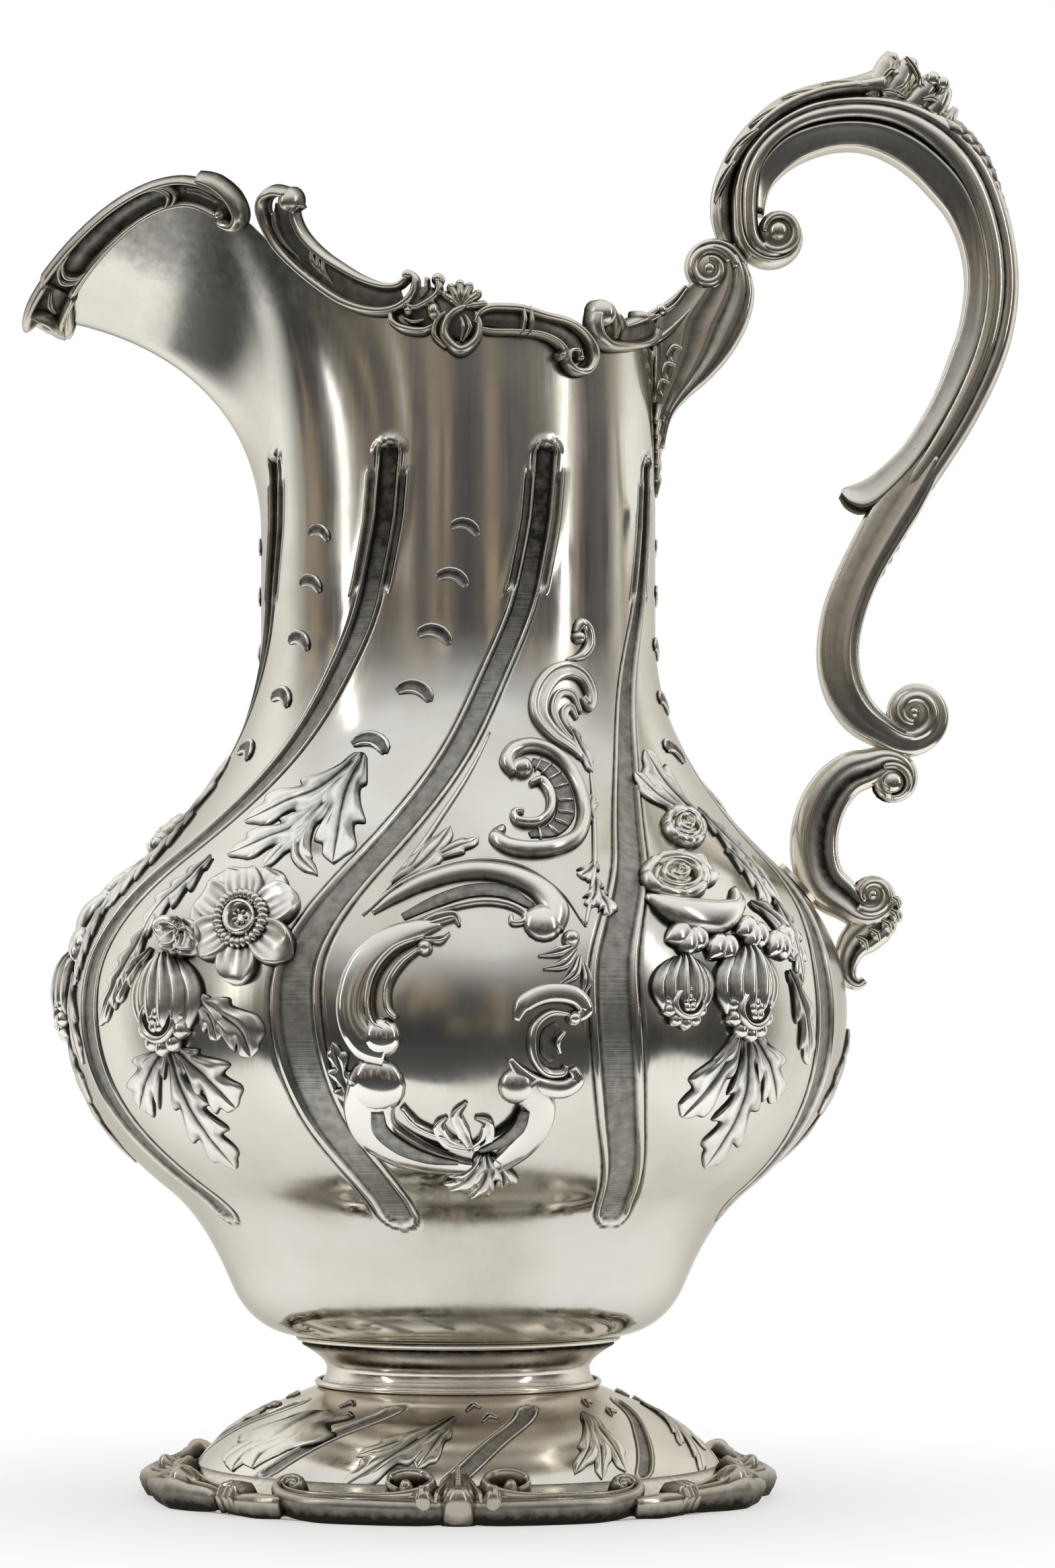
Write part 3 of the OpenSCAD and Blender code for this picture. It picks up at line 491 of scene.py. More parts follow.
def shell(name, grid, lo, hi, nodes, closedFoot=False, finish="sheetSilver"):
    steps = np.unique(np.append(np.arange(lo, hi, shellWork["step"]), hi))[::-1]
    rings = [grid["outer"][lo:hi + 1], grid["inner"][steps]]
    norms = [grid["n"][lo:hi + 1], -grid["plain"][steps]]
    dark = [grid["dark"][lo:hi + 1], np.full(grid["dark"][steps].shape, shellWork["insideDark"])]
    matt = [grid["matt"][lo:hi + 1], np.zeros(grid["matt"][steps].shape)]
    run = [grid["run"][lo:hi + 1], grid["run"][steps]]
    stack = np.vstack(rings)
    rows, cols = stack.shape[:2]
    i, j = np.meshgrid(np.arange(rows - 1 if closedFoot else rows), np.arange(cols), indexing="ij")
    k, up = (j + 1) % cols, (i + 1) % rows
    faces = np.stack([i * cols + j, i * cols + k, up * cols + k, up * cols + j], -1).reshape(-1, 4).tolist()
    places, normals = stack.reshape(-1, 3), np.vstack(norms).reshape(-1, 3)
    shade, mats, runs = (np.vstack(x).reshape(-1) for x in (dark, matt, run))
    if closedFoot:  # the flat bottom, outside and inside
        for start, z, n in ((0, stack[0, 0, 2], -1), ((rows - 1) * cols, stack[-1, 0, 2], 1)):
            pole = len(places)
            places = np.vstack([places, [[0, 0, z]]])
            normals = np.vstack([normals, [[0, 0, n]]])
            shade = np.append(shade, shellWork["floorDark"])
            mats, runs = np.append(mats, 0), np.append(runs, 0)
            for a in range(cols):
                b = (a + 1) % cols
                faces.append([start + b, start + a, pole] if n < 0 else [start + a, start + b, pole])
    return makePiece(name, (places, faces, shade), finish, nodes, normals,
                     {"matting": mats, "along": runs})


body, (low, high) = raiseBody()
shell("lowerBowl", body, 0, low, ["bowl_lower"], closedFoot=True)
shell("shoulder", body, low, high, ["bowl_shoulder"])
shell("neckAndSpout", body, high, len(body["outer"]) - 1, ["neck"])
print("body raised:", body["outer"].shape)


# Geometry Nodes: one tree lays a stamp on marked places, another turns a profile on the axis
def newTree(name, inputs):
    tree = bpy.data.node_groups.new(name, "GeometryNodeTree")
    for label, kind in inputs:
        tree.interface.new_socket(label, in_out="INPUT", socket_type="NodeSocket" + kind)
    tree.interface.new_socket("Geometry", in_out="OUTPUT", socket_type="NodeSocketGeometry")
    return tree, tree.nodes.new("NodeGroupInput").outputs, tree.nodes.new("NodeGroupOutput")


def endTree(tree, shape, given, result):  # a plain mesh in its finish
    real = addNode(tree, "GeometryNodeRealizeInstances", {0: shape})
    bare = {"Geometry": real.outputs[0], "Material": given["Finish"]}
    coat = addNode(tree, "GeometryNodeSetMaterial", bare)
    tree.links.new(coat.outputs[0], result.inputs[0])
    return tree


def stampTree():
    inputs = [("Geometry", "Geometry"), ("Stamp", "Object"), ("Size", "Float"), ("Finish", "Material")]
    tree, given, result = newTree("layStamps", inputs)

    def field(key, kind):
        named = addNode(tree, "GeometryNodeInputNamedAttribute", {"Name": key}, data_type=kind)
        return named.outputs["Attribute"]

    align = "FunctionNodeAlignRotationToVector"
    stamp = addNode(tree, "GeometryNodeObjectInfo", {"Object": given["Stamp"]})
    stand = addNode(tree, align, {"Vector": field("out", "FLOAT_VECTOR")}, axis="Z")
    way = {"Rotation": stand.outputs[0], "Vector": field("along", "FLOAT_VECTOR")}
    turn = addNode(tree, align, way, axis="X", pivot_axis="Z")
    sizes = {0: field("grow", "FLOAT"), 1: given["Size"]}
    grow = addNode(tree, "ShaderNodeMath", sizes, operation="MULTIPLY")
    laid = {"Points": given["Geometry"], "Instance": stamp.outputs["Geometry"], "Rotation": turn.outputs[0],
            "Scale": grow.outputs[0]}
    return endTree(tree, addNode(tree, "GeometryNodeInstanceOnPoints", laid).outputs[0], given, result)


def turnTree():
    inputs = [("Geometry", "Geometry"), ("Steps", "Int"), ("Rows", "Int"), ("Finish", "Material")]
    tree, given, result = newTree("turnProfile", inputs)
    line = addNode(tree, "GeometryNodeMeshToCurve", {0: given["Geometry"]})
    grid = addNode(tree, "GeometryNodeMeshGrid", {"Vertices X": given["Steps"], "Vertices Y": given["Rows"]})
    parts = addNode(tree, "ShaderNodeSeparateXYZ", {0: grid.outputs["UV Map"]}).outputs
    picked = {"Curves": line.outputs[0], "Factor": parts["Y"]}
    pick = addNode(tree, "GeometryNodeSampleCurve", picked, mode="FACTOR")
    spot = addNode(tree, "ShaderNodeSeparateXYZ", {0: pick.outputs["Position"]}).outputs
    angle = addNode(tree, "ShaderNodeMath", {0: parts["X"], 1: 2 * math.pi}, operation="MULTIPLY")
    place = {"Z": spot["Z"]}
    for kind, axis in (("SINE", "X"), ("COSINE", "Y")):
        wave = addNode(tree, "ShaderNodeMath", {0: angle.outputs[0]}, operation=kind)
        arm = addNode(tree, "ShaderNodeMath", {0: wave.outputs[0], 1: spot["X"]}, operation="MULTIPLY")
        place[axis] = arm.outputs[0]
    where = addNode(tree, "ShaderNodeCombineXYZ", place).outputs[0]
    move = addNode(tree, "GeometryNodeSetPosition", {"Geometry": grid.outputs["Mesh"], "Position": where})
    weld = addNode(tree, "GeometryNodeMergeByDistance", {"Geometry": move.outputs[0], "Distance": 1e-6})
    return endTree(tree, weld.outputs[0], given, result)


trees = {"stamps": stampTree(), "turned": turnTree()}


def grown(name, start, tree, **inputs):  # runs a tree on a mesh and keeps the plain result
    piece = bpy.data.objects.new(name + "Start", start)
    scene.collection.objects.link(piece)
    run = piece.modifiers.new("grow", "NODES")
    run.node_group = tree
    for socket in tree.interface.items_tree:
        if socket.in_out == "INPUT" and socket.name in inputs:
            run[socket.identifier] = inputs[socket.name]
    view = bpy.context.evaluated_depsgraph_get()
    mesh = bpy.data.meshes.new_from_object(piece.evaluated_get(view), depsgraph=view)
    piece.modifiers.remove(run)
    bpy.data.objects.remove(piece)
    mesh.name = name
    mesh.polygons.foreach_set("use_smooth", np.ones(len(mesh.polygons), bool))
    return mesh


def spotsOf(mesh):
    spots = np.empty(len(mesh.vertices) * 3)
    mesh.vertices.foreach_get("co", spots)
    return spots.reshape(-1, 3)


def faceOut(mesh):  # turns a closed mesh right side out
    mesh.calc_loop_triangles()
    spots = spotsOf(mesh)
    corners = np.empty(len(mesh.loop_triangles) * 3, int)
    mesh.loop_triangles.foreach_get("vertices", corners)
    a, b, c = (spots[corners[k::3]] for k in range(3))
    if np.einsum("ij,ij->i", a, np.cross(b, c)).sum() < 0:
        mesh.flip_normals()
    return mesh


def layStamps(name, spots, outs, alongs, grows, stamp, finish, nodes=()):
    start = bpy.data.meshes.new(name)
    start.from_pydata((np.asarray(spots) * mm).tolist(), [], [])
    for key, values in (("out", outs), ("along", alongs)):
        start.attributes.new(key, "FLOAT_VECTOR", "POINT").data.foreach_set("vector", np.ravel(values))
    start.attributes.new("grow", "FLOAT", "POINT").data.foreach_set("value", np.ravel(grows))
    mesh = grown(name, start, trees["stamps"], Stamp=stamp, Size=1.0, Finish=finishes[finish])
    return addPiece(bpy.data.objects.new(name, mesh), nodes)


def stampMesh(name, line, wide, high, section):  # a small shape to be repeated; it doesn't stay in the scene
    places, faces, shade = sweep(line, [0, 0, 1], wide, high, section)
    return bpy.data.objects.new(name, faceOut(plainMesh(name, places, faces, {"patinaAndShade": shade})))


def turnedPiece(name, profile, finish, nodes, steps=192, dark=None):
    line = np.asarray(profile, float)
    line = np.vstack([line, line[:1]])
    fine = np.vstack([np.linspace(a, b, max(2, int(np.linalg.norm(b - a) / 0.6)), endpoint=False)
                      for a, b in zip(line, line[1:])] + [line[-1:]])
    start = bpy.data.meshes.new(name)
    start.from_pydata([(r * mm, 0, z * mm) for r, z in fine], [(i, i + 1) for i in range(len(fine) - 1)], [])
    mesh = faceOut(grown(name, start, trees["turned"], Steps=steps + 1, Rows=len(fine),
                         Finish=finishes[finish]))
    spots = spotsOf(mesh) / mm
    shade = np.zeros(len(spots)) if dark is None else dark(np.hypot(spots[:, 0], spots[:, 1]), spots[:, 2])
    mesh.attributes.new("patinaAndShade", "FLOAT", "POINT").data.foreach_set("value", shade.astype(np.float32))
    mesh.set_sharp_from_angle(angle=math.radians(38))
    return addPiece(bpy.data.objects.new(name, mesh), nodes)


print("node trees ready:", len(trees))


# Foot: a fluted dome, a turned stem, and a base ring that carries the border
stem = {"wall": 0.9, "r": 32.5, "wireR": 0.8, "wireOut": 2.2, "wireUp": 0.9, "flangeR": 40.2, "flangeT": 1.2,
        "top": 39.5, "domeH": 27.0}
domeFlutes = {"count": 8, "first": 22.5, "top": 23.6, "bottom": 10.2, "shallow": 0.8, "rows": 58,
              "twist": [(0, -30), (5, -27), (11, -21.5), (17.5, -13), (23.5, 0), (30, 8)],
              "half": [(0, 2.3), (30, 2.0)], "across": flutes["across"], "between": 15}


def foldedWall(curve, wall, n):  # a thin sheet's outside and inside, as one closed profile
    line = bezier(curve, n)
    slope = unit(np.gradient(line, axis=0))
    inner = line - wall * np.stack([slope[:, 1], -slope[:, 0]], 1)
    return np.vstack([line, inner[::-1]])


def raiseDome():
    s = np.linspace(0, domeShape["s"][-1], domeFlutes["rows"])
    z = np.interp(s, domeShape["s"], domeShape["z"])
    r = np.interp(s, domeShape["s"], domeShape["r"])
    ends = np.interp([domeFlutes["bottom"], domeFlutes["top"]], domeShape["z"], domeShape["s"])
    rows = []
    for zz, rr, ss in zip(z, r, s):
        half = float(table(domeFlutes["half"], zz, False))
        deg, n = fluteColumns(domeFlutes, float(table(domeFlutes["twist"], zz)), math.degrees(half / rr))
        place = at(domeShape, deg, np.full_like(deg, zz))[0]
        e = capsule(n, max(0, ends[0] - ss, ss - ends[1]), half)
        rise, shade, mat = cutAcross(e)
        rows.append((place, rise * domeFlutes["shallow"], shade, mat, np.full_like(deg, ss)))
    return sheetGrid(rows, foot["wall"], 0)


dome = raiseDome()
shell("footDome", dome, 0, len(dome["outer"]) - 1, ["foot_dome"], finish="footSilver")
# the dark values darken the stem, wire and flange where they meet the dome and tuck under the bowl: patina
# and painted shade
turnedPiece("footStem", foldedWall(foot["stem"], stem["wall"], 40), "footSilver",
            ["foot_stem"], dark=lambda r, z: np.interp(z, [27, 28, 30, 36, 37.4], [0.9, 0.3, 0.0, 0.1, 0.8]))
a = np.radians(np.arange(0, 360, 20))
wire = np.stack([stem["r"] + stem["wireOut"] + stem["wireR"] * np.cos(a),
                 stem["domeH"] + stem["wireUp"] + stem["wireR"] * np.sin(a)], 1)
turnedPiece("stemWire", wire, "footSilver", ["stem_wire"],
            dark=lambda r, z: np.interp(r, [34, 35], [0.9, 0]))
edge, top, thick = stem["flangeR"], stem["top"], stem["flangeT"]
flange = [(stem["r"], top - thick), (edge - 0.5, top - thick), (edge - 0.12, top - thick * 0.8),
          (edge, top - thick * 0.5), (edge - 0.15, top - 0.2), (edge - 0.5, top), (stem["r"], top)]
turnedPiece("footFlange", flange, "footSilver", ["foot_flange"],
            dark=lambda r, z: np.interp(r, [37.5, 39.4, 40], [0.9, 0.7, 0.1]))
baseRing = [(60, 0), (74.8, 0), (75.4, 0.3), (75.6, 1.2), (74, 2.7), (70, 5.2), (64.86, 8.35), (66, 6),
            (66.2, 2.5), (60, 2.5)]
# darker at its foot, partway up and at the top where the dome sits on it: patina and painted shade
turnedPiece("baseRing", baseRing, "footSilver", ["base_ring"],
            dark=lambda r, z: np.interp(z, [0, 0.5, 1.3, 2.4, 5, 7.4, 8.3],
                                        [0.5, 0.1, 0.3, 0.6, 0.25, 0.15, 0.7]))
print("foot raised")


# Border of the foot: strokes laid on the sloping face, by angle from the front and height up the slope
border = {"foot": np.array([76.5, 1.2]), "top": np.array([64.86, 8.35]), "bold": 1.2}
borderUp = unit(border["top"] - border["foot"])
borderOut = np.array([borderUp[1], -borderUp[0]])
borderMm = border["foot"][0] * math.pi / 180


def onBorder(path):
    path = np.asarray(path, float)
    a = np.radians(path[:, 0])[:, None]
    turn = np.concatenate([np.sin(a), -np.cos(a)], 1)
    rz = border["foot"] + path[:, 1:2] * borderUp
    places = np.concatenate([turn * rz[:, :1], rz[:, 1:]], 1)
    outs = np.concatenate([turn * borderOut[0], np.full((len(path), 1), borderOut[1])], 1)
    return places, outs


def borderStroke(path, wide, high, section, steps=5):
    line = smoothLine(path, steps) if steps else np.asarray(path, float)
    places, outs = onBorder(line)
    return sweep(places, outs, wide, np.asarray(high) * border["bold"], section)


def borderBall(deg, up, r, h, stretch=1.0):
    places, outs = onBorder([(deg, up)])
    return boss(places[0], outs[0], r, h * border["bold"], (0, 0, 1), stretch)


def borderCoil(deg, side, centre, up, a0, a1, r0, r1, n=18):
    return [(deg + side * x / borderMm, y) for x, y in coil((centre * borderMm, up), a0, a1, r0, r1, n)]


def borderRun(deg, side, points):  # from left to right, so that a thin edge stays on top
    return [(deg + side * x, y) for x, y in points][::side]


edgeRib = [(-1, -0.15, 1), (-0.97, 0.35, 0.8), (-0.8, 0.75, 0.52), (-0.4, 0.96, 0.24), (0.1, 1, 0.05),
           (0.42, 0.9, 0.05), (0.54, 0.62, 0.75), (0.62, 0.6, 0.8), (0.72, 0.88, 0.1), (0.84, 0.95, 0),
           (0.94, 0.6, 0.3), (1, -0.15, 1)]
husk = {"middle": [(0, 0.4), (0, 4), (0, 9), (0, 15)],
        "flanks": [(roundRib, [(4, 0.8), (3.7, 4), (2.6, 9), (1.6, 15.6)], [1.3, 1.4, 1.2, 0.6],
                    [3.8, 4.8, 4, 1.8]),
                   (pitRib, [(5.6, 3.4), (6.4, 7), (5, 12.6)], [1.6, 3.4, 2], [0.8, 1, 0.8])]}
borderScroll = {
    "turning": [  # wide and high go with the path, whichever way it runs
        (edgeRib, [(2.6, 1.9), (8, 1.5), (15, 1.4), (23, 1.5), (29, 2.2), (33.4, 4), (36, 6.8), (36.2, 9.4),
                   (34.6, 11), (32.6, 10.4), (32.3, 8.6), (33.4, 7.8)],
         [2.6, 2.7, 2.7, 2.7, 2.5, 2.2, 1.8, 1.6, 1.4, 1.2, 0.9, 0.6],
         [3.6, 4, 4.2, 4.2, 4, 3.8, 3.6, 3.4, 3.2, 3, 2.6, 2.2]),
        (roundRib, [(26, 4.8), (20, 4.4), (14, 3.9), (9.6, 4.1), (6, 6.2), (5, 9.4), (6.8, 12.6),
                    (10.2, 13.6), (13.2, 12), (13.4, 9.4), (11.4, 8)],
         [0.4, 0.8, 1.1, 1.4, 1.5, 1.5, 1.4, 1.3, 1.2, 1, 0.7],
         [3.6, 3.8, 4.2, 4.8, 5, 4.8, 4.4, 4.2, 4, 3.6, 3]),
    ],
    "strokes": [
        (pitRib, [(6.4, 8.4), (9.6, 8.8), (13.4, 8.2)], [2.2, 4, 2], [0.8, 1, 0.8]),
        (roundRib, [(19, 6.6), (23, 5.6), (27.4, 6), (30.6, 8.2)], [0.5, 0.9, 0.9, 0.5], [1, 1.8, 1.8, 1.2]),
        (roundRib, [(33, 1.7), (38, 1.5), (44, 1.8)], [2.2, 2.5, 2.3], [3.2, 3.8, 3.6]),
    ],
    "balls": [(9.9, 8.6, 2.2, 4.4, 1.1), (6, 2.2, 3.1, 6.2), (6.2, 2, 1.5, 7.4), (33.6, 8.8, 1.7, 3)],
}
collar = {"core": ([2, 2.4, 1.6], [3, 4.4, 2]), "coreUp": (0.2, 3, 7), "ribs": (-1.6, 0.1, 1.6),
          "rib": ([0.8, 1, 0.9, 0.6], [3.6, 5, 4.2, 2]),
          "ribPath": [(1, -0.2), (1, 2.6), (0.8, 5.6), (0.6, 8.4)]}
lobe = {"reach": [-16, -10, -5, 0, 5, 10, 13],
        "roll": ([2.1, 2.5, 2.8, 4.2, 2.8, 2.5, 2], [3.4, 3.8, 4.2, 5.4, 4.2, 3.8, 3.2]),
        "bead": ([0.6, 0.9, 1, 1.1, 1, 0.9, 0.6], [1.6, 2.4, 2.8, 3, 2.8, 2.4, 1.6])}
loop = {"eye": (15, 8.8), "coil": (-90, 240, 5.4, 1.7), "wide": [0.8, 1.5, 2.4, 2.7, 2.4, 1.5, 0.8],
        "high": [2.8, 3.6, 4, 4.2, 4, 3.6, 2.8]}


def huskPiece(deg):
    bits = [borderStroke(borderRun(deg, 1, husk["middle"]), [3.8, 4.8, 4, 1.8], [4.6, 6, 5, 2.4], leafRib)]
    bits += [borderBall(deg, 4.6 + 1.7 * k, 1.4 - 0.07 * k, 7.2 - 0.5 * k) for k in range(7)]
    for side in (-1, 1):
        for rib, path, wide, high in husk["flanks"]:
            bits.append(borderStroke([(deg + side * x, y) for x, y in path], wide, high, rib))
    return bits + [borderBall(deg, 1.8, 4.4, 7)]


def scrollPiece(deg, side):
    bits = [borderStroke(borderRun(deg, side, path), wide[::side], high[::side], rib, 6)
            for rib, path, wide, high in borderScroll["turning"]]
    bits += [borderStroke(borderRun(deg, side, path), wide, high, rib)
             for rib, path, wide, high in borderScroll["strokes"]]
    return bits + [borderBall(deg + side * x, *ball) for x, *ball in borderScroll["balls"]]


def collarPiece(deg):
    bits = [borderStroke([(deg, up) for up in collar["coreUp"]], *collar["core"], roundRib)]
    for off in collar["ribs"]:
        path = [(deg + off * share, up) for share, up in collar["ribPath"]]
        bits.append(borderStroke(path, *collar["rib"], roundRib))
    return bits


def lobePiece(deg):
    low = [(deg + x, 1.6 + 0.03 * abs(x)) for x in lobe["reach"]]
    high = [(deg + x, 5.4 + 0.3 * (1 - abs(x) / 16) * 8) for x in lobe["reach"]]
    return [borderStroke(low, *lobe["roll"], edgeRib, 6), borderBall(deg, 4.4, 4.4, 6.4, 1.1),
            borderStroke(high, *lobe["bead"], roundRib, 6)]


def loopPiece(deg):
    end = borderCoil(deg, 1, *loop["eye"], *loop["coil"])
    start = borderCoil(deg, -1, *loop["eye"], *loop["coil"])[::-1]
    middle = smoothLine([start[-1], (deg - 7, 2.2), (deg, 1.6), (deg + 7, 2.2), end[0]], 5)[1:-1].tolist()
    bits = [borderStroke(start + middle + end, loop["wide"], loop["high"], edgeRib, 0)]
    for side in (-1, 1):
        bits.append(borderBall(deg + side * loop["eye"][0], loop["eye"][1], 2.2, 3.8))
        path = [(deg + side * 10.5, 9), (deg + side * 5, 7), (deg + side * 0.4, 6.8)]
        bits.append(borderStroke(path, [0.6, 1.1, 1.2], [1.8, 2.6, 3], roundRib))
    return bits + [borderBall(deg, 7, 2.2, 4.6, 1.3)]


def castPiece(name, bits, nodes, finish="castSilver"):
    whole = joined(bits)
    whole[0][:, 2] = np.maximum(whole[0][:, 2], 0)  # flat where it stands
    return makePiece(name, whole, finish, nodes)


for name, deg in (("Front", 0), ("Back", 180)):
    castPiece("husk" + name, huskPiece(deg), ["husk_" + name.lower()], "borderSilver")
for k, (deg, side) in enumerate(((0, 1), (0, -1), (180, 1), (180, -1))):
    castPiece(f"borderScroll{k + 1}", scrollPiece(deg, side), [f"border_scroll_{k + 1}"], "borderSilver")
for k, (collarDeg, lobeDeg) in enumerate(((45, 62), (-45, -62), (135, 118), (-135, -118))):
    castPiece(f"collar{k + 1}", collarPiece(collarDeg), [f"collar_{k + 1}"], "borderSilver")
    castPiece(f"lobe{k + 1}", lobePiece(lobeDeg), [f"lobe_{k + 1}"], "borderSilver")
for name, deg in (("Left", -90), ("Right", 90)):
    castPiece("loop" + name, loopPiece(deg), ["loop_" + name.lower()], "borderSilver")
print("border cast")


# Rim castings, by the angle from the spout and the height above the wall's edge
def rimStroke(path, wide, high, section, side, steps=5):
    places, outs = onRim(smoothLine(path, steps), side)
    return sweep(places, outs, wide, high, section)


def rimBall(a, up, r, h, side, stretch=1.0):
    places, outs = onRim([(a, up)], side)
    return boss(places[0], outs[0], r, h, (0, 0, 1), stretch)


def rimBits(how, side):
    bits = [rimStroke(path, wide, high, rib, side) for rib, path, wide, high in how["strokes"]]
    return bits + [rimBall(a, up, r, h, side, *stretch) for a, up, r, h, *stretch in how["balls"]]


def rimBand(a0, way, shift):  # a cup-shaped band across the lip's channel
    m = rimMm(a0)
    band = ((6, 3.1), (2.2, 2.5), (0, 0.2), (1.6, -2.3), (5, -3.1))
    return [(a0 + way * (x + shift) / m, up) for x, up in band]


rimChannel = evenRib([(-1, -0.15, 1), (-1.02, 0.5, 0.4), (-0.93, 0.88, 0), (-0.8, 1, 0), (-0.68, 0.9, 0.05),
                      (-0.58, 0.5, 0.8), (-0.4, 0.3, 0.75), (0, 0.24, 0.58)])
floorRib = [(x, h, 0.62) for x, h, d in roundRib]
lip = {
    "strokes": [
        (roundRib, [(28.6, 4.4), (31, 5.0), (33.4, 4.2), (35.2, 1.6), (35.2, -1.8), (33.4, -3.2),
         (32.2, -1.6)], [1.3, 1.9, 2.1, 1.9, 1.7, 1.4, 1.1], [3.2, 3.7, 4, 4, 3.9, 3.6, 3.2]),
        (leafRib, [(26.6, 0.4), (29.5, 0.6), (31.6, 0.2)], [1, 1.3, 0.5], [1.2, 1.6, 1.2]),
    ],
    "balls": [(32.8, -1.3, 1.5, 3.9)],
}


def lipPiece(side):
    run = [(7 + 27 * f, 0.2) for f in np.linspace(0, 1, 12)]
    bits = [rimStroke(run, [4.8, 4.2, 3.8, 3.6, 3.7], [3.3, 3.3, 3.3, 3.2, 2.6], rimChannel, side, 3)]
    for a0, way in ((8.0, 1), (25.4, -1)):
        for shift in (0, 1.9):
            band = rimBand(a0, way, shift)
            bits.append(rimStroke(band, [0.5, 0.75, 0.9, 0.75, 0.4], [3.2, 3.1, 3.2, 3.1, 3], roundRib, side))
    return bits + rimBits(lip, side)


lipTip = {
    "strokes": [
        (roundRib, [(6.4, -4), (3.6, -5.6), (1.2, -6.4), (0, -5.4)], [0.7, 1.2, 1.4, 1],
         [2.6, 3.6, 4, 3.4]),
        (leafRib, [(6.2, 1.2), (4.4, -0.4), (3.4, -2.6)], [0.4, 0.9, 0.5], [2, 2.6, 2]),
        (roundRib, [(2.4, 3.4), (2.7, 0.4), (2.2, -2.8), (0.4, -5.8)], [0.9, 1.3, 1.4, 1.2],
         [3.2, 4.6, 4.8, 4.2]),
    ],
    "balls": [(3.2, -4.6, 1.4, 3.6)],
}


def lipTipPiece():
    run = [(x, -0.4) for x in np.linspace(-6.9, 6.9, 9)]
    bits = [rimStroke(run, [4.8, 5.4, 4.8], [3.4, 3.8, 3.4], rimChannel, 1, 3)]
    return bits + rimBits(lipTip, -1) + rimBits(lipTip, 1)


frontScroll = {
    "strokes": [
        (floorRib, [(39.2, 11), (40.8, 7), (44.5, 4.6), (52, 3.2), (60, 2.2), (68, 2), (73.5, 4)],
         [2.4, 3, 3.4, 3.6, 3.6, 3.3, 2.2], [1.6, 1.7, 1.7, 1.7, 1.7, 1.7, 1.6]),
        (roundRib, [(39.2, 14.8), (37.6, 13), (36.9, 10), (37.6, 6.6), (40, 3.4), (43.5, 1.5), (51.8, 0),
         (60, -1.2), (68, -1), (73.4, 0.8), (76.6, 4.2), (76.8, 7.6), (75.2, 9)],
         [1.1, 1.5, 1.6, 1.4, 1.4, 1.5, 1.4, 1.3, 1.1, 0.9],
         [3.6, 4, 4, 3.9, 3.9, 3.9, 3.9, 3.9, 3.8, 3.4]),
        (roundRib, [(41.6, 14.2), (41.2, 11.6), (43, 9), (45.8, 7.4), (50, 6.5), (55, 6.0), (62, 5.2),
         (68, 5), (72, 5.8), (74.2, 7.8)], [0.9, 1.1, 1.2, 1.2, 1.1, 1, 1],
         [3, 3.4, 3.6, 3.6, 3.5, 3.5, 3.4]),
        (roundRib, [(39, 8.6), (40.2, 6), (42.5, 4), (46, 3)], [0.8, 1, 0.9, 0.4], [3, 3.1, 2.8, 1.8]),
    ],
    "balls": [(39.9, 13.4, 3.1, 4.8), (74.3, 8.6, 1.5, 3.9)],
}


def frontScrollPiece(side):
    bits = rimBits(frontScroll, side)
    for k in range(3):  # short leaves in the channel
        path = [(47.4 + 1.5 * k, 6.4 - 0.3 * k), (48.6 + 1.7 * k, 4.4 - 0.4 * k),
                (51.5 + 2 * k, 2.4 - 0.5 * k)]
        bits.append(rimStroke(path, [0.7, 0.9, 0.3], [2.6, 3.2, 1.8], roundRib, side))
    return bits


rimShell = {
    "strokes": [
        (floorRib, [(75, 2.6), (80, 2), (86, 0.6), (92, 0), (97, 0.4)], [3.4, 5, 5.6, 5.4, 3],
         [1.4, 1.8, 2, 1.9, 1.4]),
        (roundRib, [(83.2, 8.4), (83.8, 5.6), (82, 3.4), (78.2, 1.2), (75.4, 1.6)], [1, 1.1, 1.1, 1, 0.8],
         [3.8, 4, 4, 3.8, 3.2]),
        (roundRib, [(80, 8.6), (80.4, 6), (79.2, 3.8)], [0.6, 0.8, 0.5], [3.2, 3.4, 2.8]),
        (roundRib, [(71.6, -0.6), (72.8, -2.8), (76, -4), (80.8, -4), (83.6, -2.4)],
         [0.9, 1.2, 1.3, 1.2, 0.7], [3.2, 3.7, 3.8, 3.7, 3]),
        (roundRib, [(75.6, -1.6), (78.2, -2.2), (81, -1.4)], [0.5, 0.8, 0.5], [2.8, 3.2, 2.8]),
        (roundRib, [(91.6, 2.6), (88.6, 1), (86.9, -1.6), (87, -4.8), (91, -7.8), (94.8, -5.4),
         (95.9, -1.6), (94.4, 1.6)], [1, 1.4, 1.5, 1.5, 1.6, 1.4, 1.2, 0.8],
         [3.8, 4.2, 4.2, 4.2, 4.2, 4, 3.8, 3.2]),
        (roundRib, [(86.4, 1), (84.2, -1.6), (84.2, -4.8), (87.4, -7.4)], [0.7, 1, 1, 0.6],
         [3, 3.4, 3.4, 2.8]),
        (leafRib, [(91, 0.6), (92.4, -2.2), (91.4, -5.6)], [1.2, 1.9, 0.5], [3, 3.6, 2.4]),
    ],
    "balls": [(83.2, 8.6, 1.6, 4.3), (83.2, 0.9, 2.1, 4.5, 1.3), (76.4, 0.2, 1.5, 3.9)],
    "rays": [(85.6, 5), (87.2, 6.9), (89.6, 8), (92.3, 7.6), (94.8, 6), (96.6, 3.6)], "eye": (90.4, 2.2),
}


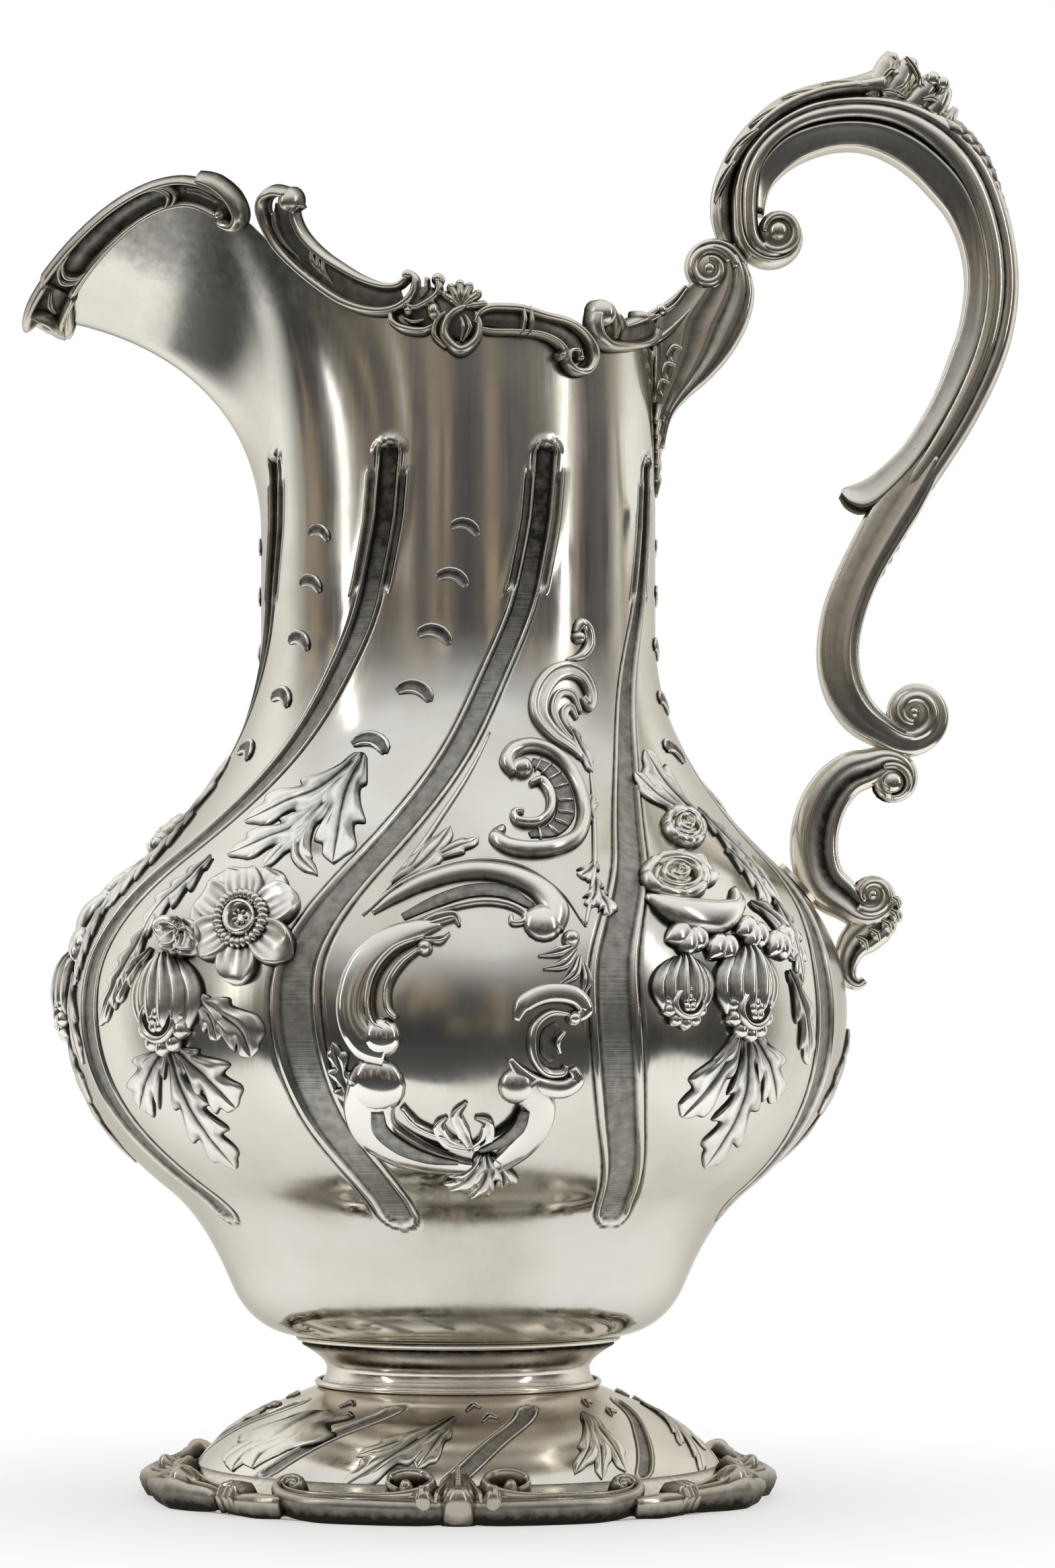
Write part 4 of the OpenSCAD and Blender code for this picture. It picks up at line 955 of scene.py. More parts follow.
def shellPiece(side):
    bits = rimBits(rimShell, side)
    x, y = rimShell["eye"]
    for a, up in rimShell["rays"]:
        path = [(x, y), ((x + a) / 2, y + (up - y) * 0.55), (a, up)]
        bits.append(rimStroke(path, [0.6, 1.2, 1.1], [2.8, 3.8, 3.4], roundRib, side))
        bits.append(rimBall(a, up, 1.15, 3.7, side))
    return bits


rearScroll = {
    "strokes": [
        (floorRib, [(96, 0.2), (103, 0.5), (110, 0.2), (117, -0.8), (123, -3), (126, -5.6)],
         [1.8, 2.8, 2.7, 2.6, 2.8, 2.4], [1.6] * 6),
        (roundRib, [(94.6, -1), (95.6, 1.4), (98.4, 2.9), (103, 3.3), (107.2, 3.3), (113.8, 2.2),
         (121, 1.4), (126, -0.6), (129.4, -3.6), (130, -6.6), (127.6, -9.6), (123.8, -10), (121.2, -8.2),
         (121.6, -5.6), (124.4, -5.2), (125.2, -7)], [0.9, 1.2, 1.3, 1.3, 1.3, 1.4, 1.4, 1.2, 1, 0.8],
         [3.4, 3.8, 3.8, 3.8, 3.8, 3.8, 3.8, 3.7, 3.6, 3.4]),
        (roundRib, [(95.2, -2), (99, -2.6), (106.2, -2.2), (112.6, -2.2), (117.4, -3.4), (120.2, -5.4),
         (119.6, -7)], [0.8, 1, 1, 1, 1, 0.9], [3.2, 3.5, 3.5, 3.5, 3.5, 3.2]),
    ],
    "balls": [(119.4, -6.8, 1.3, 3.7), (125.1, -6.9, 1.1, 3.6)],
}


def rearScrollPiece(side):
    bits = rimBits(rearScroll, side)
    for a in (107.2, 109.2):
        path = [(a, 3.9), (a + 0.5, 0.4), (a, -3)]
        bits.append(rimStroke(path, [0.7, 0.95, 0.7], [3.6, 4.5, 3.6], roundRib, side))
    return bits


rearVolute = {
    "strokes": [
        (floorRib, [(135, 1.6), (143, 0.5), (153, 2.6), (165, 5.4)], [2.6, 2.6, 2.8, 2.2], [1.7] * 4),
        (roundRib, [(131, 4.4), (130.6, 1.6), (132.2, -1.2), (136, -2.6), (142.8, -2.2), (153, -0.6),
         (163, 2.4), (170, 5.6)], [1.8, 1.9, 1.8, 1.6, 1.4, 1.2, 1, 0.7],
         [4.4, 4.4, 4.2, 4, 3.9, 3.7, 3.4, 2.6]),
        (roundRib, [(142, 2.6), (148, 4.4), (155, 6.2), (163, 8)], [0.8, 1.1, 1.1, 0.6],
         [3, 3.6, 3.6, 2.4]),
    ],
    "balls": [(133.6, 4.6, 3.7, 5.4), (151.6, 6, 1.7, 4.2)],
}


def rearVolutePiece(side):
    bits = rimBits(rearVolute, side)
    for k in range(2):
        path = [(136.6 + 2.6 * k, 6 - k), (138.8 + 2.6 * k, 3 - 0.6 * k), (138 + 3 * k, -0.8)]
        bits.append(rimStroke(path, [0.7, 1, 0.6], [3.4, 3.8, 3], roundRib, side))
    return bits


castPiece("lipTip", lipTipPiece(), ["lip_tip"])
for name, side in (("Near", 1), ("Far", -1)):
    tail = "_" + name.lower()
    castPiece("lip" + name, lipPiece(side), ["lip" + tail])
    castPiece("frontScroll" + name, frontScrollPiece(side), ["front_scroll" + tail])
    castPiece("shell" + name, shellPiece(side), ["shell" + tail])
    castPiece("rearScroll" + name, rearScrollPiece(side), ["rear_scroll" + tail])
    castPiece("rearVolute" + name, rearVolutePiece(side), ["rear_volute" + tail])
print("rim cast")


# Handle: castings in the plane of spout and handle, drawn from the side as (x, z) edges with a depth across
handle = {"coil": 44, "steps": 130, "archDeep": 14.0, "strapDeep": 13.2, "scrollDeep": 12.0}


def leftOf(d):
    return np.stack([-d[:, 1], d[:, 0]], 1)


def shrunk(v0, v1, n):
    return v0 * (v1 / v0) ** (np.arange(n) / (n - 1))


def mirrored(half):  # a section drawn on one side only, closed on the other
    return half + [(-y, s, d) for y, s, d in half[::-1]]


def eased(line, passes):  # evens out bends without moving the ends
    line = np.array(line, float)
    for k in range(passes):
        line[1:-1] = (line[:-2] + 2 * line[1:-1] + line[2:]) / 4
    return line


def edgeLine(points, n=None):  # a smooth edge through the points, in even steps
    n = n or handle["steps"]
    line = eased(smoothLine(points, 12), 12)
    s = lengths(line)
    t = np.linspace(0, s[-1], n)
    return np.stack([np.interp(t, s, line[:, 0]), np.interp(t, s, line[:, 1])], 1)


def righted(bit):  # turns a closed bit right side out
    places, faces, shade = bit
    fans = [(f[0], f[k], f[k + 1]) for f in faces for k in range(1, len(f) - 1)]
    room = sum(np.dot(places[a], np.cross(places[b], places[c])) for a, b, c in fans)
    return bit if room > 0 else (places, [f[::-1] for f in faces], shade)


def bandTube(lowEdge, highEdge, deep, section):  # a casting between two edges
    sec = np.asarray(section, float)
    share = (sec[None, :, 1:2] + 1) / 2
    q = lowEdge[:, None] * (1 - share) + highEdge[:, None] * share
    y = sec[None, :, 0] * spread(deep, len(lowEdge))[:, None] / 2
    return righted(closedTube(np.stack([q[..., 0], y, q[..., 1]], -1), np.tile(sec[:, 2], (len(lowEdge), 1))))


def planeTube(path, thick, deep, section):
    path = np.asarray(path, float)
    out = leftOf(unit(np.gradient(path, axis=0))) * spread(thick, len(path))[:, None] / 2
    return bandTube(path - out, path + out, deep, section)


def planeStroke(path, wide, high, section, steps=6):  # a solid leaf that stands in the plane of the handle
    line = smoothLine(path, steps)
    o = leftOf(unit(np.gradient(line, axis=0)))
    return sweep(np.insert(line, 1, 0, axis=1), np.insert(o, 1, 0, axis=1), wide, high, section)


def sideStroke(path, side, depth, wide, high, section, steps=6):  # a ridge on the flank of a casting
    line = smoothLine(path, steps) if steps else np.asarray(path, float)
    places = np.stack([line[:, 0], side * spread(np.atleast_1d(depth), len(line)), line[:, 1]], 1)
    return sweep(places, [0, side, 0], wide, high, section)


def snail(centre, r, start, turns, deep, button, wide=1.5):  # a volute on both flanks, with a button
    bits = []
    for side in (-1, 1):
        bits.append(boss((centre[0], side * (deep / 2 - 2.2), centre[1]), (0, side, 0), r, 2.0))
        line = coil(centre, start, start + turns * 360, r * 0.97, button + wide * 0.6, int(30 * abs(turns)))
        lift = deep / 2 - 1.5 + 0.9 * (1 - np.linspace(1, 0, len(line)) ** 2)
        bits.append(sideStroke(line, side, lift, [wide, wide, wide * 0.85, wide * 0.55],
                               [1.5, 1.6, 1.6, 1.2], roundRib, 0))
        eye = (centre[0], side * (deep / 2 - 1.0), centre[1])
        bits.append(boss(eye, (0, side, 0), button, min(button, 2.2)))
    return bits


def handlePiece(name, bits, nodes):
    return castPiece(name, bits, nodes, "handleSilver")


t = np.radians(np.arange(180, -180, -24))
ovalRib = np.stack([np.cos(t), np.sin(t), 0.35 - 0.35 * np.abs(np.sin(t))], 1)
archSection = mirrored([(0.3, -1, 1), (0.8, -1, 1), (0.86, -0.9, 0.9), (0.98, -0.76, 0.25), (1.05, -0.5, 0),
                        (1.04, -0.2, 0), (0.97, 0, 0.1), (0.9, 0.1, 0.8), (0.9, 0.16, 0.8),
                        (0.96, 0.26, 0.1), (0.97, 0.42, 0), (0.9, 0.6, 0), (0.78, 0.76, 0.1),
                        (0.6, 0.88, 0.2), (0.3, 0.97, 0.3), (0.1, 1, 0.3)])
strapSection = mirrored([(0.2, -1, 0), (0.5, -1, 0), (0.62, -0.93, 0), (0.68, -0.78, 0.3),
                         (0.72, -0.55, 0.25), (0.8, -0.1, 0.05), (0.9, 0.3, 0), (0.97, 0.55, 0),
                         (0.98, 0.68, 0.2), (0.9, 0.82, 0.9), (0.85, 1, 1)])
scrollSection = mirrored([(0.2, -1, 0.2), (0.6, -0.98, 0.15), (0.8, -0.88, 0.05), (0.88, -0.6, 0.15),
                          (0.9, -0.2, 0.2), (0.93, 0.15, 0.12), (1, 0.36, 0), (1.03, 0.46, 0),
                          (0.97, 0.55, 0.2), (0.86, 0.66, 0.6), (0.82, 0.72, 0.6), (0.84, 0.8, 0.1),
                          (0.78, 0.92, 0), (0.55, 1, 0.05), (0.2, 1.02, 0.2)])
cSection = mirrored([(0.2, -1, 0.1), (0.55, -0.97, 0.05), (0.8, -0.84, 0.05), (0.93, -0.6, 0.15),
                     (1, -0.42, 0), (0.98, -0.3, 0), (0.9, -0.1, 0.3), (0.8, 0.12, 0.75), (0.77, 0.34, 0.9),
                     (0.82, 0.5, 0.5), (0.87, 0.64, 0), (0.78, 0.82, 0.05), (0.55, 0.95, 0.2), (0.2, 1, 0.3)])

arch = {
    "eye": np.array([79.0, 311.9]), "coil": (540, 180, 2.3, 8.5),  # angles, radii
    "volute": (5.2, 220, 0.9, 12.6, 2.6, 1.3),  # radius, start, turns, depth, button, width
    "deep": [0.95, 1, 1, 1, 0.98, 0.97, 0.96, 0.95, 0.93, 0.9, 0.72],
    "outer": [(67.2, 313), (67, 321.8), (68.1, 327.1), (70.8, 332.3), (75.6, 337.8), (82.1, 342),
              (89.2, 344.7), (99.3, 345.8), (109, 345), (116.8, 342.1), (123, 337.9), (129.5, 330),
              (134, 319.5), (136.7, 309), (137.5, 299), (136.4, 289), (134.2, 281.4), (131.2, 274),
              (127.8, 266.9), (123.6, 259.5), (119.6, 253), (115, 246)],
    "inner": [(73.7, 313), (73.8, 320), (74.8, 327), (78.4, 333.2), (85.7, 338), (94, 339.8), (102, 339.8),
              (109.4, 337.9), (116, 334), (122, 328.2), (126.6, 321.4), (129.4, 313.4), (130.9, 305),
              (131.1, 296.7), (130, 288.5), (128, 281.4), (125.2, 274.5), (121.3, 266.9), (117, 259.8),
              (113, 254), (107.5, 247)],
}
outer, inner = edgeLine(arch["outer"]), edgeLine(arch["inner"])
archPath = np.vstack([coil(arch["eye"], *arch["coil"], handle["coil"]), ((outer + inner) / 2)[2:]])
archThick = np.concatenate([shrunk(2.1, 6.6, handle["coil"] + 1), np.linalg.norm(outer - inner, axis=1)[2:]])
archDeep = np.concatenate([shrunk(8, 13, handle["coil"] + 1),
                           spread(np.array(arch["deep"]) * handle["archDeep"], len(outer) - 2)])
bits = [planeTube(eased(archPath, 6), archThick, archDeep, archSection)]
handlePiece("handleArch", bits + snail(arch["eye"], *arch["volute"]), ["arch"])

strap = {
    "inner": [(75.6, 316.5), (76.8, 321.8), (79.1, 325.4), (83.3, 328.9), (89.2, 331.6), (95.2, 332.8),
              (101, 332.4), (107, 330), (112.6, 326), (117.4, 321), (121.4, 316), (124.4, 309),
              (125.6, 301.6), (125.3, 295.5), (124, 288.5), (121.6, 281.8), (118.8, 274.3), (115, 266.9),
              (110.4, 259.8), (106, 255.2), (100.8, 251), (95.2, 248.9)],
    "outer": [(72, 317.5), (72.6, 324), (75, 330), (80.4, 335.6), (89, 338.8), (97, 339.6), (105, 338.8),
              (112.6, 335.6), (119, 330.8), (124.4, 324.8), (128.2, 317), (130.3, 308.4), (131, 299.6),
              (130.4, 291.5), (128.8, 284), (126, 276.4), (122.4, 269), (118, 261.4), (113, 254),
              (107, 247.4), (101, 242.8), (96.4, 244.2), (94.6, 247)],
    "deep": [0.86, 1, 1, 1, 1, 0.98, 0.9, 0.74], "vent": (112.7, 4.6, 258.5),
}
strapDeep = np.array(strap["deep"]) * handle["strapDeep"]
bits = [bandTube(edgeLine(strap["inner"]), edgeLine(strap["outer"]), strapDeep, strapSection)]
for side in (-1, 1):  # small vent in the hollow casting
    bits.append(boss(np.array(strap["vent"]) * [1, side, 1], (-0.6, side, 0.3), 0.55, 0.3))
handlePiece("handleStrap", bits, ["strap"])

thumb = {
    "top": [(64.2, 309.6), (62.4, 315.9), (62.8, 323), (64.9, 328.9), (68.6, 335.6), (74.4, 342),
            (80.9, 346.6), (88, 349.1), (95.2, 350.5), (101, 352), (105.4, 354)],
    "base": [(67.6, 309.6), (66.4, 315.9), (66.5, 322), (68, 327.4), (71.2, 332.8), (76.2, 338),
             (82.2, 342.4), (89.2, 345.2), (96, 346.4), (101, 346.8), (105.4, 346.8)],
    "wide": [1.6, 3.8, 5, 5.6, 6.2, 6.4, 6.6, 6.4, 5.6],
}
thumbRib = evenRib([(-0.5, -0.5, 1), (-0.8, -0.12, 0.95), (-1, 0.08, 0.5), (-1.06, 0.28, 0), (-0.98, 0.46, 0),
                    (-0.82, 0.5, 0.4), (-0.66, 0.58, 0.3), (-0.36, 0.86, 0.02), (0, 1, 0)])
top, base = (np.insert(edgeLine(thumb[k], 72), 1, 0, axis=1) for k in ("top", "base"))
wave = 1 + 0.06 * np.sin(np.linspace(0, 8 * math.pi, 72))
rise = top - base
bits = [sweep(base, rise, spread(thumb["wide"], 72) * wave, np.linalg.norm(rise, axis=1), thumbRib)]
f = np.linspace(0, 1, 13)[:, None]
for side in (-1, 1):
    for t in range(10, 65, 11):  # lobes that lap over the flank of the arch
        up = rise[t:t + 13]
        line = base[t:t + 13] + up * (0.75 - 0.6 * f) + side * np.outer(2.6 + 3.6 * f[:, 0] ** 0.7, [0, 1, 0])
        bits.append(sweep(line, up * 0.3 + [0, 2.0 * side, 0], [0.3, 0.9, 1.3, 1.1, 0.3],
                          [0.6, 0.9, 1, 0.9, 0.4], leafRib))
handlePiece("thumbLeaf", bits, ["thumb_leaf"])

crest = {  # curled leaf tips on top of the arch, and what shows on their flanks
    "leaves": [
        ([(101.6, 345), (104.4, 349.4), (106.2, 353.6), (107.6, 356.2)], [4.8, 5.2, 4.4, 2.6],
         [3.4, 3.2, 2.8, 2]),
        ([(106, 344.8), (109, 349), (111, 352.6), (112.3, 354.4)], [5.2, 5.4, 4.6, 2.8],
         [3.6, 3.4, 3, 2.2]),
        ([(111.5, 343), (115, 346.4), (117.2, 349.2), (118.1, 350)], [5.2, 5.4, 4.6, 2.8],
         [3.4, 3.4, 2.9, 2.2]),
        ([(116, 340.5), (118.6, 343.8), (120, 346.6), (120.3, 348.2)], [4.8, 4.8, 4, 2.4],
         [2.9, 2.8, 2.4, 1.8]),
        ([(119.5, 338), (121.6, 340.6), (123.2, 343)], [4.2, 3.6, 1.6], [2.2, 2, 1]),
    ],
    "ridges": [
        [(103.7, 347.4), (105.2, 350), (107, 351.8), (108.6, 351.2)],
        [(110.4, 355), (112, 353), (113.6, 350.2), (113.8, 348)],
        [(107, 346.4), (109.6, 347.4), (111.4, 349.6)],
        [(114.2, 349.4), (114.6, 347.4), (116.4, 346)],
        [(114.8, 344.6), (117.4, 344.7), (119.8, 342.6)],
        [(104.6, 346.6), (107.6, 346.2), (110.4, 345.2)],
        [(118.6, 350), (119.4, 347.4), (118.4, 345.8)],
    ],
    "knobs": [(108.3, 350.9, 1.5), (117.2, 349.6, 1.9), (119.6, 348.4, 1.7), (107.4, 355.2, 1.5),
              (112, 353.6, 1.7)],
}
bits = [planeStroke(path, wide, high, ovalRib) for path, wide, high in crest["leaves"]]
for side in (-1, 1):
    for path in crest["ridges"]:
        bits.append(sideStroke(path, side, [4.4, 4.2, 3.4], [0.5, 0.9, 0.8, 0.4], [0.9, 1.3, 1.2, 0.6],
                               leafRib))
    for x, z, r in crest["knobs"]:
        bits.append(boss((x, side * (4.4 - 0.35 * max(0, z - 348)), z), (0, side, 0.3), r, r))
handlePiece("thumbCrest", bits, ["thumb_crest"])

scroll = {
    "eye": np.array([112.4, 193.2]), "coil": (214, 560, 8.5, 4.4), "volute": (6.2, 250, 1.05, 11.4, 1.5, 1.7),
    "run": [(116.5, 257), (112.2, 250), (107.2, 242.4), (103.4, 235.8), (99.3, 228.2), (95.9, 220),
            (94.2, 212.5), (93.9, 206), (95.2, 199.4), (97.8, 194.4), (100.9, 190.8)],
    "thick": [8, 10, 11.4, 11.2, 10.6, 10.4, 10.5, 10.3, 10.2, 10, 9.2, 7.6],
}
end = coil(scroll["eye"], *scroll["coil"], handle["coil"])
run = edgeLine(scroll["run"] + [tuple(end[0])], 70)
scrollPath = eased(np.vstack([run, end[1:]]), 8)
scrollThick = np.concatenate([spread(scroll["thick"], 70), shrunk(7.5, 3, handle["coil"])])
deep = handle["scrollDeep"]
scrollDeep = np.concatenate([np.full(70, deep), shrunk(deep, 9, handle["coil"])])
bits = [planeTube(scrollPath, scrollThick, scrollDeep, scrollSection)]
handlePiece("lowerScroll", bits + snail(scroll["eye"], *scroll["volute"]), ["lower_scroll"])

spine = {"step": 3.4, "long": 5.0, "wide": 1.8, "high": 1.4, "rows": (-1, 0, 1),
         "line": [(121.5, 340), (125.6, 336.4), (130.6, 329.8), (134.6, 319.6), (137.2, 309), (138, 299),
                  (136.9, 288.8), (134.7, 281), (131.7, 273.6), (128.2, 266.4), (124, 259), (119.6, 252.2),
                  (114.6, 244.4), (110.4, 236.6), (106, 229)]}
line = np.stack([np.linspace(-0.4, 0.6, 5) * spine["long"], np.zeros(5), np.zeros(5)], 1)
laurelStamp = stampMesh("laurelLeaf", line, np.array([0.3, 0.85, 1, 0.8, 0.2]) * spine["wide"],
                        np.array([0.15, 0.5, 0.85, 1.1, 0.9]) * spine["high"], leafRib[::2] + leafRib[-1:])
rough = edgeLine(spine["line"], 400)
count = int(np.linalg.norm(np.diff(rough, axis=0), axis=1).sum() / spine["step"])
line = edgeLine(spine["line"], count)
ways = unit(np.gradient(line, axis=0))
outs = leftOf(ways)
spots, normals, alongs, grows = [], [], [], []
for k in range(count):
    grow = 1.75 - 0.85 * min(1, k / 14) - 0.15 * k / count
    for side in spine["rows"]:
        q = line[k] - outs[k] * (0.75 + 0.6 * abs(side)) + ways[k] * spine["step"] * 0.4 * abs(side)
        spots.append([q[0], side * 2.2 * grow, q[1]])
        normals.append(unit(np.array([outs[k, 0], 0.5 * side, outs[k, 1]])))
        alongs.append(unit(np.array([ways[k, 0] + 0.25 * outs[k, 0], 0.45 * side,
                                     ways[k, 1] + 0.25 * outs[k, 1]])))
        grows.append(grow)
layStamps("spineLaurel", spots, normals, alongs, grows, laurelStamp, "handleSilver",
          ["spine_leaf"])

footing = {
    "topEye": np.array([107.2, 175.8]), "topCoil": (-190, 152, 2.2, 6.8),
    "topVolute": (4.6, 120, -0.6, 11.2, 2.9, 1.1),
    "lowEye": np.array([102.2, 148.2]), "lowCoil": (196, 560, 6.2, 2.2),
    "lowVolute": (4.8, 220, 1.0, 11.2, 1.5, 1.4),
    "run": [(97.6, 179), (92.4, 174.4), (89.3, 168.4), (88, 162), (88.4, 156), (90.4, 150.6)],
    "thick": [10.2, 11, 11.5, 11.8, 11.8, 11.6, 10.4],
}
start = coil(footing["topEye"], *footing["topCoil"], 40)
end = coil(footing["lowEye"], *footing["lowCoil"], 40)
run = edgeLine([tuple(start[-1])] + footing["run"] + [tuple(end[0])], 46)
footPath = eased(np.vstack([start, run[1:-1], end]), 10)
footThick = np.concatenate([shrunk(2, 9.6, 41), spread(footing["thick"], 44), shrunk(9, 2, 41)])
footDeep = np.concatenate([shrunk(8, 12, 41), spread([12, 11.6, 12], 44), shrunk(12, 8, 41)])
bits = [planeTube(footPath, eased(footThick, 6), footDeep, cSection)]
bits += snail(footing["topEye"], *footing["topVolute"])
bits += snail(footing["lowEye"], *footing["lowVolute"])
handlePiece("footScroll", bits, ["foot_scroll"])

tail = {
    "path": [(105.5, 143.6), (101.6, 139.4), (97.8, 136), (96, 131.6), (96.6, 127.6), (99, 126),
             (100.6, 127.2)],
    "thick": [8.4, 10.4, 9.6, 7.4, 5.8, 4, 2], "deep": [8, 9.5, 9, 8, 6.5, 4.5, 3],
    "lumps": [(108.2, 146.4, 1.5), (108, 143.2, 1.8), (106.2, 140.4, 1.9), (103.4, 138.2, 1.8),
              (100.4, 136.2, 1.5)],
}
bits = [planeTube(edgeLine(tail["path"], 40), tail["thick"], tail["deep"], cSection)]
for side in (-1, 1):
    for x, z, r in tail["lumps"]:
        bits.append(boss((x, side * 2.6, z), (0.45, side, -0.45), r, r, (1, 0, -1), 1.25))
        bits.append(sideStroke([(x - 2, z + 1.6), (x, z + 0.4), (x + 0.7, z - 1.6)], side, [3.8, 4.2, 3.4],
                               [0.4, 0.8, 0.4], [0.8, 1.3, 0.8], leafRib))
handlePiece("tailLeaf", bits, ["tail_leaf"])

bracket = {
    "eye": np.array([62.0, 302.8]), "coil": (380, 5, 2.4, 7.6), "volute": (5.4, 20, 1.2, 10.4, 1.7, 1.4),
    "outer": [(69.8, 306.6), (71.8, 303.2), (72.9, 300), (73.3, 296.4), (72.5, 291.8), (70.6, 286.9),
              (66.9, 281), (61.9, 275.6), (57.4, 271.8), (53.8, 268), (52.2, 264.4), (51, 259)],
    "inner": [(61.5, 303.2), (58.6, 300.4), (55.4, 298.4), (53, 296.4), (50, 293.8), (47.9, 290.4),
              (48.4, 284), (48.3, 279), (48.3, 274), (48.3, 270), (48.4, 265), (48.6, 259)],
    "deep": [11, 11, 10.6, 10, 9.2, 8, 6],
    "ridges": [  # section, path, depth, wide, high
        (roundRib, [(47.6, 284.4), (50.4, 286), (54, 289.2), (57.8, 293.2)], [3.6, 3.4, 3.3, 3.4],
         [1.1, 1, 0.9, 0.4], [1.5, 1.5, 1.3, 0.6]),
        (leafRib, [(46.8, 290.6), (50, 292.4), (53.4, 294.6), (56.4, 298.4)], [2.8, 2.6, 2.8, 3.2],
         [1.4, 1.5, 1.3, 0.8], [1.8, 1.9, 1.6, 1]),
    ],
    "curl": [(55.4, 283, 1.6), (53.2, 283.6, 1.4), (52, 281.4, 1.2), (53, 279.6, 1.2)],  # x, z, step in x
}
bracketSection = mirrored([(0.3, -1, 0.4), (0.55, -0.97, 0.25), (0.66, -0.86, 0.1), (0.64, -0.72, 0.45),
                           (0.66, -0.5, 0.4), (0.76, -0.34, 0.08), (0.78, -0.24, 0.05), (0.71, -0.12, 0.6),
                           (0.73, 0.04, 0.45), (0.85, 0.2, 0.05), (0.86, 0.3, 0.05), (0.8, 0.38, 0.7),
                           (0.88, 0.48, 0.25), (1, 0.6, 0), (0.98, 0.7, 0.1), (0.9, 0.76, 0.75),
                           (0.93, 0.85, 0.05), (0.74, 0.95, 0.1), (0.3, 1, 0.3)])
ring = coil(bracket["eye"], *bracket["coil"], 40)
bits = [planeTube(ring, shrunk(1.8, 4.6, 41), shrunk(8, 11, 41), archSection)]
bits += snail(bracket["eye"], *bracket["volute"])
inner, outer = edgeLine(bracket["inner"], 60), edgeLine(bracket["outer"], 60)
bits.append(bandTube(inner, outer, bracket["deep"], bracketSection))
for side in (-1, 1):  # the rim's ridges run up onto the flank
    for rib, path, depth, wide, high in bracket["ridges"]:
        bits.append(sideStroke(path, side, depth, wide, high, rib))
    bits.append(boss((50.2, side * 3.2, 292.6), (0, side, 0.5), 1.6, 1.8))
    for k in range(3):  # curls low on the flank
        path = [(x - step * k, z - 4.2 * k) for x, z, step in bracket["curl"]]
        depth = [3.5 - 0.3 * k, 3.6 - 0.3 * k, 3.4 - 0.3 * k]
        bits.append(sideStroke(path, side, depth, [0.4, 0.9, 0.8, 0.4], [0.7, 1.1, 1, 0.6], roundRib))
handlePiece("bracket", bits, ["bracket"])

underLeaf = {"teeth": 6, "top": 267.5, "drop": 17.5, "half": 6.2, "taper": 0.75, "curve": 0.008,
             "rib": [(49, 0, 270), (49, 0, 262), (49, 0, 249.6)], "knob": (49, 0, 259.5)}
bits = []
for t in np.linspace(0, 1, underLeaf["teeth"]):  # serrated leaf that runs down the neck under the bracket
    z = underLeaf["top"] - underLeaf["drop"] * t
    for side in (-1, 1):
        w = underLeaf["half"] * (1 - underLeaf["taper"] * t)
        edge = (48.6 - w * w * underLeaf["curve"], side * w, z - 3.2)
        line = smoothLine([(49.2, 0, z + 2), (49.0, side * w * 0.55, z + 0.6), edge], 5)
        bits.append(sweep(line, [1, 0, 0], [0.8, 1.8, 0.5], [1, 1.6, 0.9], leafRib))
line = smoothLine(underLeaf["rib"], 8)
bits.append(sweep(line, [1, 0, 0], [2.4, 1.8, 0.4], [1.8, 1.7, 0.9], roundRib))
bits.append(boss(underLeaf["knob"], (1, 0, 0), 1.9, 2.4))
handlePiece("bracketLeaf", bits, ["bracket_leaf"])
pad = bpy.data.objects["solder_pad"]
for slot in pad.material_slots:
    slot.material = finishes["handleSilver"]
print("handle cast")


# Chased relief: strokes on the raised wall, by angle from the front and height
sheetRib = evenRib([(-1, -0.2, 1), (-0.95, 0.45, 0.35), (-0.82, 0.82, 0), (-0.45, 0.98, 0), (0, 1, 0)])
troughRib = evenRib([(-1, -0.3, 1), (-0.94, 0.6, 0.95), (-0.8, 0.75, 0.7), (0, 0.8, 0.62)])


def onWall(shape, deg, z):
    place, out = at(shape, deg, z)
    if shape is bodyShape:
        place = place + out * swell(np.asarray(deg, float), np.asarray(z, float))[..., None]
    return place, out


def toFlat(shape, path):  # angle and height to millimetres across and along the wall
    path = np.asarray(path, float)
    r = np.interp(path[:, 1], shape["z"], shape["r"])
    return np.stack([path[:, 0] * math.pi / 180 * r, np.interp(path[:, 1], shape["z"], shape["s"])], 1)


def fromFlat(shape, flat):
    flat = np.asarray(flat, float)
    z = np.interp(flat[:, 1], shape["s"], shape["z"])
    r = np.interp(z, shape["z"], shape["r"])
    return np.stack([flat[:, 0] / (math.pi / 180 * r), z], 1)


def wallStroke(path, wide, high, section, lift=0.0, steps=6, shape=bodyShape):
    line = smoothLine(path, steps) if steps else np.asarray(path, float)
    places, outs = onWall(shape, line[:, 0], line[:, 1])
    return sweep(places + outs * lift, outs, wide, high, section)


def wallBall(deg, z, r, h, stretch=1.0, shape=bodyShape):
    place, out = onWall(shape, np.array([deg]), np.array([z]))
    return boss(place[0], out[0], r, h, (0, 0, 1), stretch)


def turned2d(v, deg):
    c, s = math.cos(math.radians(deg)), math.sin(math.radians(deg))
    return np.array([c * v[0] - s * v[1], s * v[0] + c * v[1]])


def evenLine(line, n):  # the same line in n even steps
    run = lengths(line)
    return np.stack([np.interp(np.linspace(0, run[-1], n), run, line[:, k]) for k in (0, 1)], 1)


def bothSides(values, way=1):  # from the middle outward, to both sides
    return np.concatenate([way * np.array(values[:0:-1], float), np.array(values, float)])


